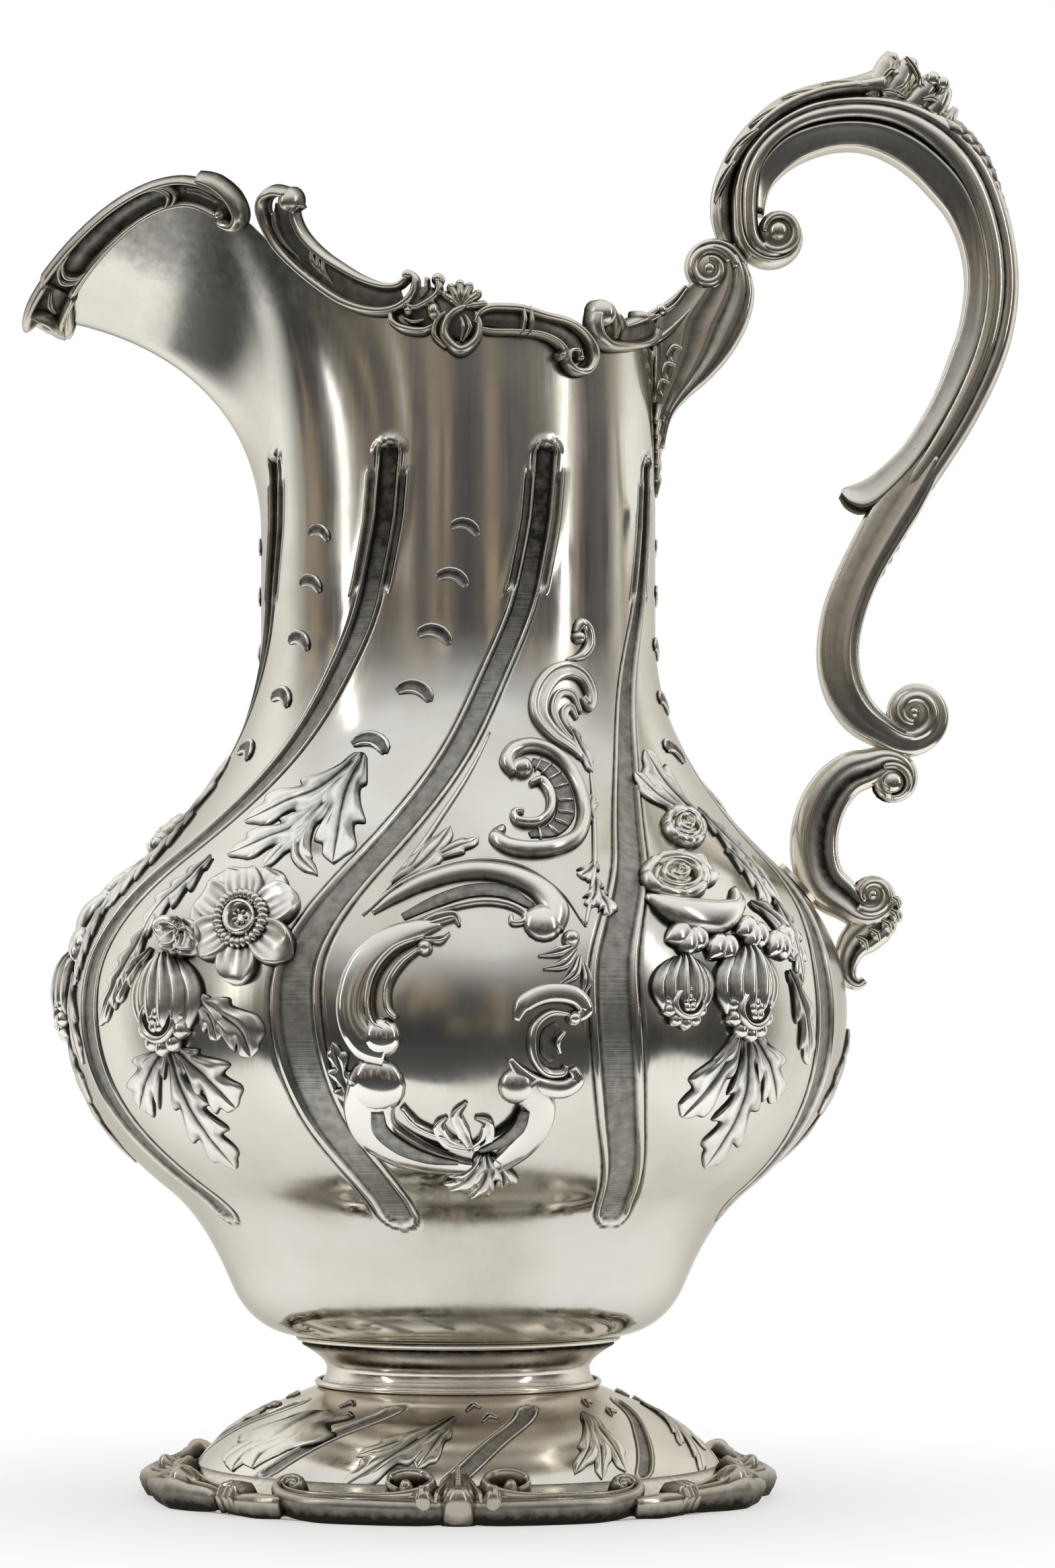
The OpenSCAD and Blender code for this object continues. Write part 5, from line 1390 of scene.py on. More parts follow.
leafWork = {"across": [0, 0.06, 0.14, 0.24, 0.34, 0.44, 0.54, 0.64, 0.74, 0.83, 0.92, 1],
            "crown": [0.5, 0.62, 0.82, 0.95, 1, 1, 0.97, 0.91, 0.82, 0.68, 0.36, -0.25],
            "dark": [0.85, 0.55, 0.15, 0.02, 0, 0, 0, 0, 0.03, 0.12, 0.6, 1],
            "outline": [0.26, 0.66, 0.92, 1, 0.98, 0.85, 0.55, 0.03],
            "rise": [0.6, 0.95, 1, 1, 0.95, 0.8, 0.5], "lean": 0.75, "tip": 0.66}
petalWork = {"across": leafWork["across"],
             "crown": [0.62, 0.62, 0.63, 0.65, 0.68, 0.73, 0.8, 0.88, 0.96, 0.98, 0.6, -0.3],
             "dark": [0.1, 0.08, 0.06, 0.05, 0.04, 0.02, 0, 0, 0.02, 0.14, 0.65, 1],
             "outline": [0.4, 0.52, 0.63, 0.73, 0.81, 0.88, 0.94, 0.98, 1, 1, 0.99, 0.96, 0.91, 0.83, 0.72,
                         0.54, 0.1],
             "rise": [0.8, 0.78, 0.8, 0.84, 0.9, 0.97, 1.05, 1.12, 1.1, 0.8, -0.1], "lean": -0.12, "tip": 0.7}
foldWork = {"across": petalWork["across"],
            "crown": [1, 1, 0.99, 0.97, 0.94, 0.9, 0.84, 0.75, 0.62, 0.48, 0.26, -0.25],
            "dark": [0, 0, 0, 0, 0, 0, 0.02, 0.08, 0.25, 0.55, 0.95, 1],
            "outline": [0.15, 0.6, 0.88, 1, 1, 0.88, 0.6, 0.15],
            "rise": [0.3, 0.75, 0.95, 1, 1, 0.95, 0.75, 0.3], "lean": 0, "tip": 0.7}


# One leaf or petal, beaten up from the wall
def sheetBit(line, wide, high, how, teeth=0, cut=0.5, ribs=0, lift=0.0, shape=bodyShape):
    n = 14 * teeth + (16 if teeth else 24)
    line = evenLine(line, n)
    way = unit(np.gradient(line, axis=0))
    side = np.stack([-way[:, 1], way[:, 0]], 1)
    t = np.linspace(0, 1, n)[:, None]
    v = bothSides(how["across"], -1)
    v[len(v) // 2:] = how["across"]
    far = np.abs(v)
    tooth = (t * teeth + 0.3 + 0.35 * (v < 0)) % 1
    ramp = np.where(tooth < how["tip"], tooth / how["tip"], (1 - tooth) / (1 - how["tip"]))
    bite = (0.5 + 0.5 * np.cos(math.pi * ramp)) * np.minimum(1, 3 * (1 - t)) * (teeth > 0)
    full = spread(how["outline"], n)[:, None]
    half = wide * full * (1 - cut * bite)
    ahead = how["lean"] * wide * full * (1 - 0.5 * bite) * far**1.7
    flat = line[:, None] + side[:, None] * (v * half)[..., None] + way[:, None] * ahead[..., None]
    crown = bothSides(how["crown"])
    rise = spread(how["rise"], n)[:, None] * (1 - 0.4 * bite * far)
    stripe = 0.5 - 0.5 * np.cos(ribs * v * math.pi)
    deep = (1 - t) ** 1.3 * (ribs > 0) * (far < 0.9)
    height = np.where(crown > 0, crown * rise, crown) * high * (1 - 0.22 * stripe * deep) + lift
    # the outline, the notches between teeth and the base of toothed leaves are darkened with patina and
    # painted shade; the stripes are chased veins
    dark = bothSides(how["dark"]) + 0.9 * (bite * far) ** 2 + (0.45 if teeth else 1.1) * stripe * deep
    dark = np.clip(dark + 0.4 * (teeth > 0) * (1 - t) ** 3, 0, 1)
    spots = fromFlat(shape, flat.reshape(-1, 2))
    places, outs = onWall(shape, spots[:, 0], spots[:, 1])
    return closedTube((places + outs * height.reshape(-1, 1)).reshape(n, len(v), 3), dark * np.ones((n, 1)))


def leaf(path, wide, teeth=3, high=1.3, cut=0.4, shape=bodyShape):
    return sheetBit(smoothLine(toFlat(shape, path), 12), wide * 1.4, high, leafWork, teeth, cut, 5,
                    shape=shape)


def cutLeaf(base, tip, wide, high):  # a short broad leaf with two teeth
    flat = toFlat(bodyShape, [base, tip])
    way = flat[1] - flat[0]
    middle = flat[0] + way * 0.5 + turned2d(way, 90) * 0.1
    return sheetBit(smoothLine([flat[0], middle, flat[1]], 12), wide, high, leafWork, 2, 0.5, 5)


def petals(centre, angles, r0, r1, wide, high, ribs=5, lift=0.0, how=petalWork):
    c = toFlat(bodyShape, [centre])[0]
    ways = [turned2d([1, 0], a) for a in angles]
    return [sheetBit(np.array([c + d * r0, c + d * r1]), wide, high, how, 0, 0, ribs, lift) for d in ways]


def ringStroke(centre, rx, ry, fromDeg, toDeg, wide, high, lift=0.0):  # part of a flower's oval roll
    c = toFlat(bodyShape, [centre])[0]
    a = np.radians(np.linspace(fromDeg, toDeg, max(8, int(abs(toDeg - fromDeg) / 12))))
    line = fromFlat(bodyShape, c + np.stack([rx * np.cos(a), ry * np.sin(a)], 1))
    return wallStroke(line, np.array([0.5, 1, 1, 1, 0.5]) * wide, np.array([0.8, 1, 1, 1, 0.8]) * high,
                      roundRib, lift, 0)


seeds = []  # places for the seeds in the flowers: (place, out, along, size)


def seedRing(centre, r, count, size, lift):
    c = toFlat(bodyShape, [centre])[0]
    for k in range(count):
        d = turned2d([1, 0], 360 * k / count)
        spot = fromFlat(bodyShape, [c + d * r, c + d * (r + 1)])
        places, outs = onWall(bodyShape, spot[:, 0], spot[:, 1])
        seeds.append((places[0] + outs[0] * lift, outs[0], places[1] - places[0], size))


def shifted(points, turn):
    return [(d + turn, z) for d, z in points]


anemoneLeaves = [
    ([(22.2, 180.2), (20.9, 169.9), (22.6, 160.3), (24, 153.4)], 5, 3),
    ([(17.8, 171.5), (15.2, 162.5), (16.7, 155.9), (22, 150.6)], 3.1, 2),
    ([(21.6, 179.9), (14.4, 172), (6.5, 168.4), (-1.3, 164.1)], 4.6, 3),
    ([(17.8, 170.5), (13.4, 163), (7.3, 159.4), (1.3, 155.8)], 4.4, 3),
    ([(16.2, 166), (12.9, 157.6), (11.2, 152.3)], 2.3, 1),
    ([(-2.9, 155.8), (-4.4, 149.9), (-7.7, 143.6), (-8.8, 136)], 3.2, 5),
    ([(-7.5, 141), (-9.2, 134), (-12, 127), (-17.4, 115.9)], 3.4, 5),
    ([(-5, 134), (-9, 128), (-13, 121)], 2.6, 3),
    ([(-0.5, 110.8), (-5.8, 103.9), (-11.3, 96.5)], 5.8, 3),
    ([(0.2, 110.4), (1.6, 96.7), (4.3, 82.5)], 5, 4),
    ([(1.6, 110.4), (6.7, 104), (10.6, 97)], 5, 3),
    ([(6.5, 121.5), (11.6, 117.3), (14, 114), (15, 108.7)], 4.4, 2),
    ([(5, 124), (8.4, 118), (9.6, 112.5)], 3, 2),
]


anemoneWork = {
    "flower": (12, 140), "heart": (3.8, 3.8, 0, 372, 1.15, 3.3), "button": (2.9, 2.1),
    "petals": [((122, 58, 180), 4, 17.4, 6.1, 1.5), ((25, -96, 150), 3.6, 16.2, 6, 2.3),
               ((-35, -152, 92), 3.6, 16, 5.9, 2.9)],  # angles, from, to, half width, height
    "seeds": [(1.5, 7, 1.1, 1.9), (6.3, 28, 2.2, 1.7)],  # radius, count, size, lift
    "folds": [(0.5, 139.5, (215, 262, 305), 0.5, 9.6, 5, 3.2, 3),
              (1.5, 136.5, (190, 240, 330), 0, 6, 3.4, 4.2, 3)],
    "bud": (0, 121.8, 9.2, 4.6, -4.6),
}


def placed(make, turn, row):  # part of a flower from its row: angle, height, then its sizes
    deg, z, *sizes = row
    return make((deg + turn, z), *sizes)


def anemone(turn):
    bits = [leaf(shifted(path, turn), wide, teeth) for path, wide, teeth in anemoneLeaves]
    flower = shifted([anemoneWork["flower"]], turn)[0]
    for row in anemoneWork["petals"]:
        bits += petals(flower, *row)
    bits += [ringStroke(flower, *anemoneWork["heart"]), wallBall(*flower, *anemoneWork["button"])]
    for row in anemoneWork["seeds"]:
        seedRing(flower, *row)
    for row in anemoneWork["folds"]:
        bits += placed(petals, turn, row)
    return bits + placed(bell, turn, anemoneWork["bud"])


def bell(centre, r, h, mouth):  # a closed flower hanging down, with its mouth open
    c = toFlat(bodyShape, [centre])[0]
    bits = [wallBall(*centre, r * 1.12, h * 0.85)]
    # overlapping petals from the stalk down
    for side, out in ((-1, 0.05), (1, 0.05), (-0.62, 0.3), (0.62, 0.3), (-0.2, 0.42), (0.28, 0.5)):
        line = smoothLine([c + [side * r * 0.3, r * 1.15], c + [side * r, r * 0.2],
                           c + [side * r * 0.78, -r * 0.8]], 6)
        bits.append(sheetBit(line, r * 0.36, h * (0.66 - 0.12 * abs(side)), foldWork, 0, 0, 2, h * out))
    low = fromFlat(bodyShape, [c + [0, mouth]])[0]
    bits.append(ringStroke(low, r * 0.56, r * 0.46, 0, 372, r * 0.13, 1.6, h * 0.55))
    c = toFlat(bodyShape, [low])[0]
    pit = fromFlat(bodyShape, [c + [-r * 0.5, 0], c, c + [r * 0.5, 0]])
    bits.append(wallStroke(pit, np.array([0.2, 0.38, 0.42, 0.38, 0.2]) * r, [0.6] * 5, pitRib, h * 0.7, 4))
    bits += petals(low, (20, 92, 164, 236, 308), 0.0, r * 0.34, r * 0.2, h * 0.34, 0, h * 0.62, foldWork)
    return bits + petals(low, (165, 200, 235, 270, 305, 340, 15), r * 0.4, r * 0.95, r * 0.3, h * 0.66, 0,
                         0.2, foldWork)


def rosePiece(centre, rx, ry, high):
    bits = [ringStroke(centre, rx, ry, k * 51 - 34, k * 51 + 34, rx * 0.2, high) for k in range(7)]
    for share, start in ((0.74, 200), (0.5, 20), (0.27, 150)):
        bits.append(ringStroke(centre, rx * share, ry * share, start, start + 300, rx * 0.11,
                               high + 0.9 * (1 - share)))
    return bits + [wallBall(*centre, ry * 0.8, high * 0.7), wallBall(*centre, rx * 0.12, high + 1)]


roseLeaves = [
    ([(12.1, 165.5), (8.4, 173), (7, 182)], 4.6, 2),
    ([(9, 166), (3, 170), (-1, 176)], 3, 2),
    ([(14.8, 168), (16.1, 160.1), (16.4, 153.7), (15.5, 144)], 3.4, 6),
    ([(12, 158), (12.6, 150), (10.5, 143)], 3, 4),
    ([(14.2, 146), (14, 136.3), (13.4, 125.6)], 3.2, 5),
    ([(9.9, 129), (13.8, 117.2), (16.4, 106.7)], 3.8, 3),
    ([(6.3, 145), (11.6, 140), (12, 131)], 3, 2),
    ([(-1.9, 113.4), (-5.7, 103.5), (-9.7, 94.8)], 4.4, 2),
    ([(-0.6, 114.1), (1.6, 98.8), (1.8, 82.5)], 5.6, 4),
    ([(0.4, 114.1), (5.6, 106.4), (10.5, 98)], 4.8, 3),
    ([(-2, 115), (-4.6, 109), (-6.4, 105.6)], 2, 1),
]
lowLeaves = roseLeaves[-4:] + roseLeaves[:2]
roseWork = {
    "small": (3.5, 162.5, 6.4, 5.6, 2.6), "large": (-7.9, 150.2, 8.6, 6, 3),
    "behind": (-6, 149, (30, 75, 120, 165), 4, 11, 5, 1.8, 0),
    "cup": [(-15.4, 145.6), (-11, 141.9), (-4.4, 140.6), (1.2, 143), (3.8, 148)], "cupSize": (4.9, 4.4),
    "folds": [(-10, 137.5, (200, 260, 320)), (3.5, 139, (195, 250, 305)), (9, 137, (230, 290, 350)),
              (-4, 136, (230, 300))], "fold": (-1, 6.6, 3.6, 3.2, 0, 0, foldWork),
    "buds": [(-12.4, 124.2, 6.6, 4, -3.2), (-0.6, 124.6, 8.2, 4.6, -5)],
}


def rosePanel(turn):
    bits = [leaf(shifted(path, turn), wide, teeth) for path, wide, teeth in roseLeaves]
    bits += placed(rosePiece, turn, roseWork["small"])
    bits += placed(petals, turn, roseWork["behind"])
    bits += placed(rosePiece, turn, roseWork["large"])
    cup = smoothLine(toFlat(bodyShape, shifted(roseWork["cup"], turn)), 8)
    bits.append(sheetBit(cup, *roseWork["cupSize"], foldWork))
    for row in roseWork["folds"]:
        bits += placed(petals, turn, row + roseWork["fold"])
    for row in roseWork["buds"]:
        bits += placed(bell, turn, row)
    return bits


def handlePanel(turn):
    return [leaf(shifted(path, turn), wide, teeth) for path, wide, teeth in lowLeaves]


shield = {
    "strokes": [  # section, wide, high, then each path
        (roundRib, [0.6, 1.6, 2.3, 2.6, 2.7, 3, 3.6, 3.8], [0.8, 1.8, 2.4, 2.6, 2.7, 2.9, 3.1, 2.8],
         [(-12.5, 141.5), (-9.5, 145), (-5, 148.6), (1, 151), (7, 150.6), (12, 147.4), (14.2, 142.5),
         (13, 138.6)]),
        (troughRib, [1, 1.8, 2, 2, 1], [0.5] * 5, [(-8, 140.4), (-3, 144.2), (2, 146.6), (7, 146.4),
         (11, 143)]),
        (roundRib, [0.5, 0.9, 0.9, 0.9, 0.8, 0.6], [0.9, 1.5, 1.5, 1.5, 1.4, 1.2], [(-7.5, 138.4),
         (-2, 142), (3, 143.8), (7, 143.4), (9.6, 141.4), (9.4, 139.4), (7.8, 139), (7.6, 140.6)]),
        (roundRib, [0.4, 0.6, 0.6, 0.6, 0.6, 0.4], [0.5, 0.8, 0.8, 0.8, 0.8, 0.5], [(-14, 141),
         (-9.8, 147.4), (-4.5, 151.4), (3, 154), (10.5, 152.6), (15.8, 146.6), (18.4, 139)]),
        (sheetRib, [0.7, 2.4, 3.6, 3.9, 3.7, 3.8, 4.4, 4.4], [1.2, 2.4, 3.1, 3.4, 3.4, 3.4, 3.3, 2.8],
         [(-2.4, 138.4), (-5.5, 137.2), (-9.4, 134.6), (-12.8, 129.6), (-14.3, 123.4), (-14.3, 117.4),
         (-12.4, 112.4), (-9.6, 111)]),
        (roundRib, [0.6, 1, 1.1, 1.1, 1, 0.7], [2.2, 3.6, 3.9, 3.9, 3.8, 3.2], [(-4.6, 135.4),
         (-8.6, 132.6), (-11.2, 127.6), (-12, 121.6), (-11.4, 117), (-9.8, 115.4)]),
        (roundRib, [0.6, 1, 1, 1, 0.6], [2, 3, 3.2, 3.2, 2.8], [(-5.4, 132.6), (-7.8, 129.4), (-9.4, 124.8),
         (-9.4, 120), (-8.2, 117.6)]),
        (leafRib, [0.8, 1.7, 1.3, 0.4], [1.8, 2.4, 2, 1], [(-6, 137.6), (-3, 139.4), (-0.6, 140.2),
         (0.2, 138.2)]),
        (leafRib, [0.5, 1.2, 0.4], [1.6, 2.2, 1.2], [(-5, 135), (-2.6, 134.8), (-1.2, 136.4)]),
        (sheetRib, [6.4, 6, 5.6, 4.8, 3.4, 2, 0.9], [3, 3, 2.9, 2.5, 2, 1.4, 0.8], [(-11.8, 102.6),
         (-13, 96.5), (-12, 91.2), (-8, 87), (-3, 84.6), (2, 83.6), (5.5, 85)]),
        (roundRib, [0.7, 1, 0.9, 0.9, 0.4], [1.8, 2.2, 2, 1.8, 1], [(-8, 97.8), (-6.8, 95.2), (-5.4, 93.4),
         (-2.4, 91.4), (0.4, 90)]),
        (sheetRib, [4.2, 4.1, 3.9, 3.4, 2.4, 1], [2.7, 2.7, 2.6, 2.3, 1.7, 0.8], [(9.2, 102.6),
         (11.4, 98.4), (11.4, 93), (9.4, 88), (6.4, 84), (4, 81.6)]),
        (petalRib, [0.8, 1.6, 1.5, 0.4], [1.4, 2.4, 2.2, 1], [(2, 88), (-1.4, 90), (-2.8, 93.4),
         (-1.6, 95.6)], [(2, 88), (0.8, 92), (-0.2, 96), (1.2, 99)], [(2, 88), (4.2, 90.6), (4.2, 94.2),
         (2.4, 95.4)]),
        (leafRib, [0.5, 1.5, 0.4], [1.6, 2.4, 1.2], [(16.4, 134), (14, 132.4), (11.2, 131.6)], [(16.6, 133),
         (14.6, 129.6), (11.8, 128.6)], [(17, 131.6), (16, 127.4), (13.8, 125)], [(17.4, 130), (17.8, 126),
         (17, 122.6)]),
        (sheetRib, [0.8, 2.2, 2.4, 2.4, 2, 1.2], [1.4, 2.6, 2.9, 2.9, 2.8, 2.2], [(7.8, 117), (8.8, 120.6),
         (12, 123), (15.6, 122.6), (17.4, 119.6), (16, 117.4)]),
        (roundRib, [0.6, 1.1, 1.2, 1.2, 1.2, 1, 0.6], [1.6, 2.3, 2.5, 2.5, 2.5, 2.3, 2], [(15.4, 118.4),
         (12.4, 118.6), (10.2, 115.4), (10.2, 109.4), (12, 105.6), (14.4, 105.2), (15, 107)]),
        (troughRib, [1, 1.6, 1.6, 0.8], [0.6] * 4, [(13.6, 116), (12.2, 114), (12, 110.4), (13, 107.6)]),
        (roundRib, [0.5, 0.9, 0.5], [1.4, 2, 1.4], [(14.6, 114.6), (13.6, 112.4), (14, 109.6)]),
        (sheetRib, [0.7, 1.8, 2.4, 2.4, 2, 1.1], [1.2, 2.2, 2.7, 2.7, 2.6, 2.2], [(7, 108.6), (8.6, 105.4),
         (11.2, 102.6), (14.6, 101.8), (16.6, 103.8), (15.8, 106.4)]),
        (roundRib, [1.2, 2, 2.2, 2, 1.8, 1.7, 1.7, 1.8, 2, 2.3, 2.4, 2, 1],
         [2, 2.6, 2.7, 2.5, 2.3, 2.2, 2.2, 2.3, 2.5, 2.7, 2.7, 2.3, 1.4], [(12.4, 174.6), (11.2, 177.6),
         (13.4, 180.8), (18, 181.8), (22.6, 180.2), (25.8, 176.4), (26.6, 170.6), (25, 164.4), (21, 159),
         (15, 156.4), (9.6, 156.6), (6.8, 159.2), (8.2, 161.6)]),
        (troughRib, [1.2, 2, 2.4, 2.4, 2, 1], [0.5] * 6, [(17, 178), (20.6, 176), (22.6, 171.4),
         (21.4, 165.4), (17.6, 161.2), (13, 160)]),
        (roundRib, [0.8, 1.3, 1.3, 1.3, 1.2, 1.1, 0.9, 0.6], [1.4, 2.2, 2.2, 2.2, 2.1, 2, 1.8, 1.4],
         [(15.6, 172.4), (18.2, 173), (19.4, 169.6), (18, 165.4), (14.8, 162.8), (11.4, 163), (10.8, 165.2),
         (12.8, 165.6)]),
        (roundRib, [0.8, 1.6, 1.6, 1.7, 1.4, 0.4], [1.4, 2, 2, 2, 1.6, 0.8], [(34.6, 209.6), (36.6, 212),
         (39, 210.6), (39.2, 207), (36.4, 204.4), (31.4, 203)]),
        (petalRib, [0.8, 1.2, 1.5, 1.8, 2.2, 2.4, 2.4, 2.2, 1.8, 1.4, 0.5],
         [1.6, 2, 2.1, 2.2, 2.4, 2.4, 2.4, 2.2, 1.8, 1.4, 0.7], [(34.6, 194), (36.2, 191.6), (37.6, 195),
         (35.8, 199), (31, 200.6), (25.8, 198.8), (22, 194.4), (21, 189.4), (24, 184.6), (28.4, 181.4),
         (31.6, 177.4)]),
        (petalRib, [0.5, 1, 1.1, 1, 0.8, 0.4], [0.8, 1.3, 1.5, 1.4, 1.2, 0.6], [(33.4, 190), (31.6, 194.6),
         (27.6, 194.6), (25.2, 190.6), (26.4, 186.2), (30.2, 182)], [(31.8, 188.6), (30.4, 191.4),
         (28.2, 190.2), (28.2, 187.2), (30.8, 184.2)]),
        (roundRib, [0.4, 0.7, 0.7, 0.6, 0.3], [0.5, 0.9, 0.9, 0.8, 0.4], [(-13.6, 141.5), (-11, 147),
         (-7.6, 154.6), (-3, 165), (2.4, 175), (7.8, 185)], [(18.5, 138.5), (21, 147.5), (24.5, 157.5),
         (29, 169), (31.5, 176.5)]),
    ],
    "balls": [(12.2, 139.2, 4.8, 3.4), (-10.4, 113.4, 4.8, 3.8), (-4.6, 133, 1.9, 3.0),
              (-11.4, 102.6, 6.9, 3.7), (8.2, 102.4, 4.5, 3.3), (16, 135.4, 2.2, 3.2),
              (15.8, 117.6, 1.9, 3.2), (14.4, 176.2, 2.8, 3.2), (35.6, 208.6, 1.7, 2.4)],
    "inlays": [  # dark troughs on top of the bands
        (2.35, [(-11.4, 97.6), (-11.2, 93.2), (-8.4, 89.4), (-4.4, 87), (0, 86)], [1.6, 2.2, 2.2, 1.6, 0.6],
         [0.7, 0.7, 0.7, 0.6, 0.5]),
        (2.1, [(9.4, 97.4), (8.6, 93.4), (6, 90.2), (3.2, 88.6)], [1.2, 1.7, 1.4, 0.5],
         [0.7, 0.7, 0.6, 0.5]),
    ],
    "sprigs": [((4, 87), (-1.6, 78.4), 5, 2.2), ((4.4, 87), (2.2, 76.4), 4.4, 2.2),
               ((5, 86.4), (8, 79), 4, 2.2), ((22, 150), (19.6, 143), 3, 1.2),
               ((23.4, 154), (19.6, 150), 3, 1.2), ((26.6, 163), (29, 170), 3, 1.2),
               ((21, 147), (22.6, 141), 3, 1.2)],
    "leaves": [([(28.8, 187.4), (30, 183.4), (31, 179.6), (31.6, 175.6)], 1.7, 2),
               ([(-11, 146.8), (-7, 151.6), (-3.8, 156.6), (-1.4, 161.8)], 2.6, 2),
               ([(-5.5, 152.6), (-1.5, 156), (1.6, 157.6), (3.6, 159.2)], 2, 2),
               ([(-8.4, 150), (-7, 153.6), (-5.6, 157.6)], 1.4, 1),
               ([(-14.6, 94), (-15.6, 100), (-16.4, 106), (-17.4, 112)], 2.75, 4, 1.4, 0.62)],
    "hollow": [(17, 178), (20.6, 176), (22.6, 171.4), (21.4, 165.4), (17.6, 161.2), (13, 160)],
    "ribs": 9, "ribHalf": 1.9,
}


def cartouche(turn):
    bits = [wallStroke(shifted(path, turn), wide, high, rib)
            for rib, wide, high, *paths in shield["strokes"] for path in paths]
    bits += [wallBall(deg + turn, *ball) for deg, *ball in shield["balls"]]
    bits += [wallStroke(shifted(path, turn), wide, high, troughRib, lift)
             for lift, path, wide, high in shield["inlays"]]
    bits += [leaf(shifted(path, turn), *how) for path, *how in shield["leaves"]]
    for base, tip, wide, high in shield["sprigs"]:
        bits.append(cutLeaf((base[0] + turn, base[1]), (tip[0] + turn, tip[1]), wide, high))
    hollow = smoothLine(shield["hollow"], 10)
    flat = toFlat(bodyShape, hollow)
    for f in np.linspace(0.08, 0.92, shield["ribs"]):  # ribs across the hollow of the large scroll
        k = int(f * (len(hollow) - 1))
        d = flat[min(k + 1, len(flat) - 1)] - flat[max(k - 1, 0)]
        n = turned2d(d / np.linalg.norm(d), 90) * shield["ribHalf"]
        rib = fromFlat(bodyShape, [flat[k] - n, flat[k], flat[k] + n])
        bits.append(wallStroke(shifted(rib, turn), [0.3, 0.5, 0.3], [1, 1.2, 1], roundRib, 0, 3))
    return bits


panels = [("cartoucheFront", cartouche, 0), ("cartoucheBack", cartouche, 180),
          ("anemoneNear", anemone, -45), ("anemoneFar", anemone, 135),
          ("roseNear", rosePanel, 45), ("roseFar", rosePanel, -135), ("roseSpout", rosePanel, -90),
          ("leavesHandle", handlePanel, 90)]
for name, make, turn in panels:
    makePiece(name, joined(make(turn)), "reliefSilver")

seedLine = np.stack([np.linspace(-0.55, 0.55, 4), np.zeros(4), np.zeros(4)], 1)
seedRib = evenRib([(-1, -0.2, 1), (-0.8, 0.6, 0.3), (0, 1, 0)])
seedStamp = stampMesh("seed", seedLine, [0.2, 0.42, 0.42, 0.2], [0.4, 0.75, 0.75, 0.4], seedRib)
spots, normals, alongs, grows = zip(*seeds)
layStamps("flowerSeeds", spots, normals, unit(np.array(alongs)), grows, seedStamp, "reliefSilver")

crescents = {
    "spots": [(47, 234, 6.0), (43.5, 222, 6.6), (38.5, 208.5, 7.2), (33.5, 195, 7.8), (23.5, 182.5, 8.5)],
    "turns": [-45, 45, 90, 135, -135, -90],
}
arc = np.radians(np.linspace(-62, 62, 9))
line = np.stack([0.62 * np.sin(arc), 0.62 * (np.cos(arc) - 0.75), np.zeros(9)], 1)
beanRib = evenRib([(-1, -0.1, 1), (-0.92, 0.7, 0.15), (-0.7, 1, 0), (-0.5, 0.5, 0.7), (0, 0.25, 0.72)])
beanStamp = stampMesh("crescent", line, [0.1, 0.2, 0.23, 0.25, 0.25, 0.25, 0.23, 0.2, 0.1],
                      [0.05, 0.09, 0.1, 0.1, 0.1, 0.1, 0.1, 0.09, 0.05], beanRib)
spots, normals, alongs, grows = [], [], [], []
for turn in crescents["turns"]:
    for deg, z, wide in crescents["spots"]:
        flat = toFlat(bodyShape, [(deg + turn, z)])
        pair = fromFlat(bodyShape, np.vstack([flat, flat + [0.95, -0.31]]))
        places, outs = onWall(bodyShape, pair[:, 0], pair[:, 1])
        spots.append(places[0])
        normals.append(outs[0])
        alongs.append(unit(places[1] - places[0]))
        grows.append(wide)
layStamps("crescents", spots, normals, alongs, grows, beanStamp, "reliefSilver")

footSpray = {
    "long": [([(-1, 22.6), (-9, 18.5), (-17, 13), (-25, 6.6)], 3.6, 3, 0.9),
             ([(-2, 21.4), (-6, 16.6), (-9, 11.6)], 2.6, 2, 0.9),
             ([(-6, 20.6), (-15, 17.4), (-24, 14)], 2.2, 2, 0.8)],
    "fan": [([(-3, 22.8), (-6 + 0.4 * x, 17), (-9 + x, 8.4 + 0.25 * abs(x + 3))], 2.7, 2, 0.9)
            for x in (-10, -4, 3)],
    "beans": [(5, 24.6), (9.4, 22.4)],
}
bits = []
for k in range(8):  # leaf sprays between the flutes of the foot
    for path, wide, teeth, high in footSpray["fan" if k % 2 else "long"]:
        bits.append(leaf(shifted(path, 45 * k), wide, teeth, high, 0.4, domeShape))
    for d, z in footSpray["beans"]:
        path = shifted([(d - 2.4, z - 0.8), (d, z + 0.3), (d + 2.4, z - 0.2)], 45 * k)
        bits.append(wallStroke(path, [0.4, 0.9, 0.4], [0.5, 0.9, 0.5], channelRib, 0, 5, domeShape))
makePiece("footLeaves", joined(bits), "footSilver")
print("relief chased:", len(panels), "panels")


# Camera, floor and light
view = {"distance": 1.15, "height": 0.115, "focal": 6900, "axisPx": 681, "horizonPx": 1530,
        "frame": (1568, 2331), "sensor": 36}
camera = bpy.data.cameras.new("camera")
cameraStand = bpy.data.objects.new("camera", camera)
scene.collection.objects.link(cameraStand)
cameraStand.location = (0, -view["distance"], view["height"])
cameraStand.rotation_euler = (math.pi / 2, 0, 0)
camera.sensor_fit = "VERTICAL"
camera.sensor_height = view["sensor"]
camera.lens = view["sensor"] * view["focal"] / view["frame"][1]
camera.shift_x = (view["frame"][0] / 2 - view["axisPx"]) / view["frame"][1]
camera.shift_y = (view["horizonPx"] - view["frame"][1] / 2) / view["frame"][1]
camera.clip_end = 50
scene.camera = cameraStand
scene.view_settings.view_transform = "Standard"

ground = {"left": -0.3, "right": 0.34, "front": -0.2, "back": 4, "shade": (0.9, 0.9, 0.89, 1), "rough": 0.7,
          "shadow": (0.06, 0.22, 0.55)}  # the shadow shows close to the foot, white further out


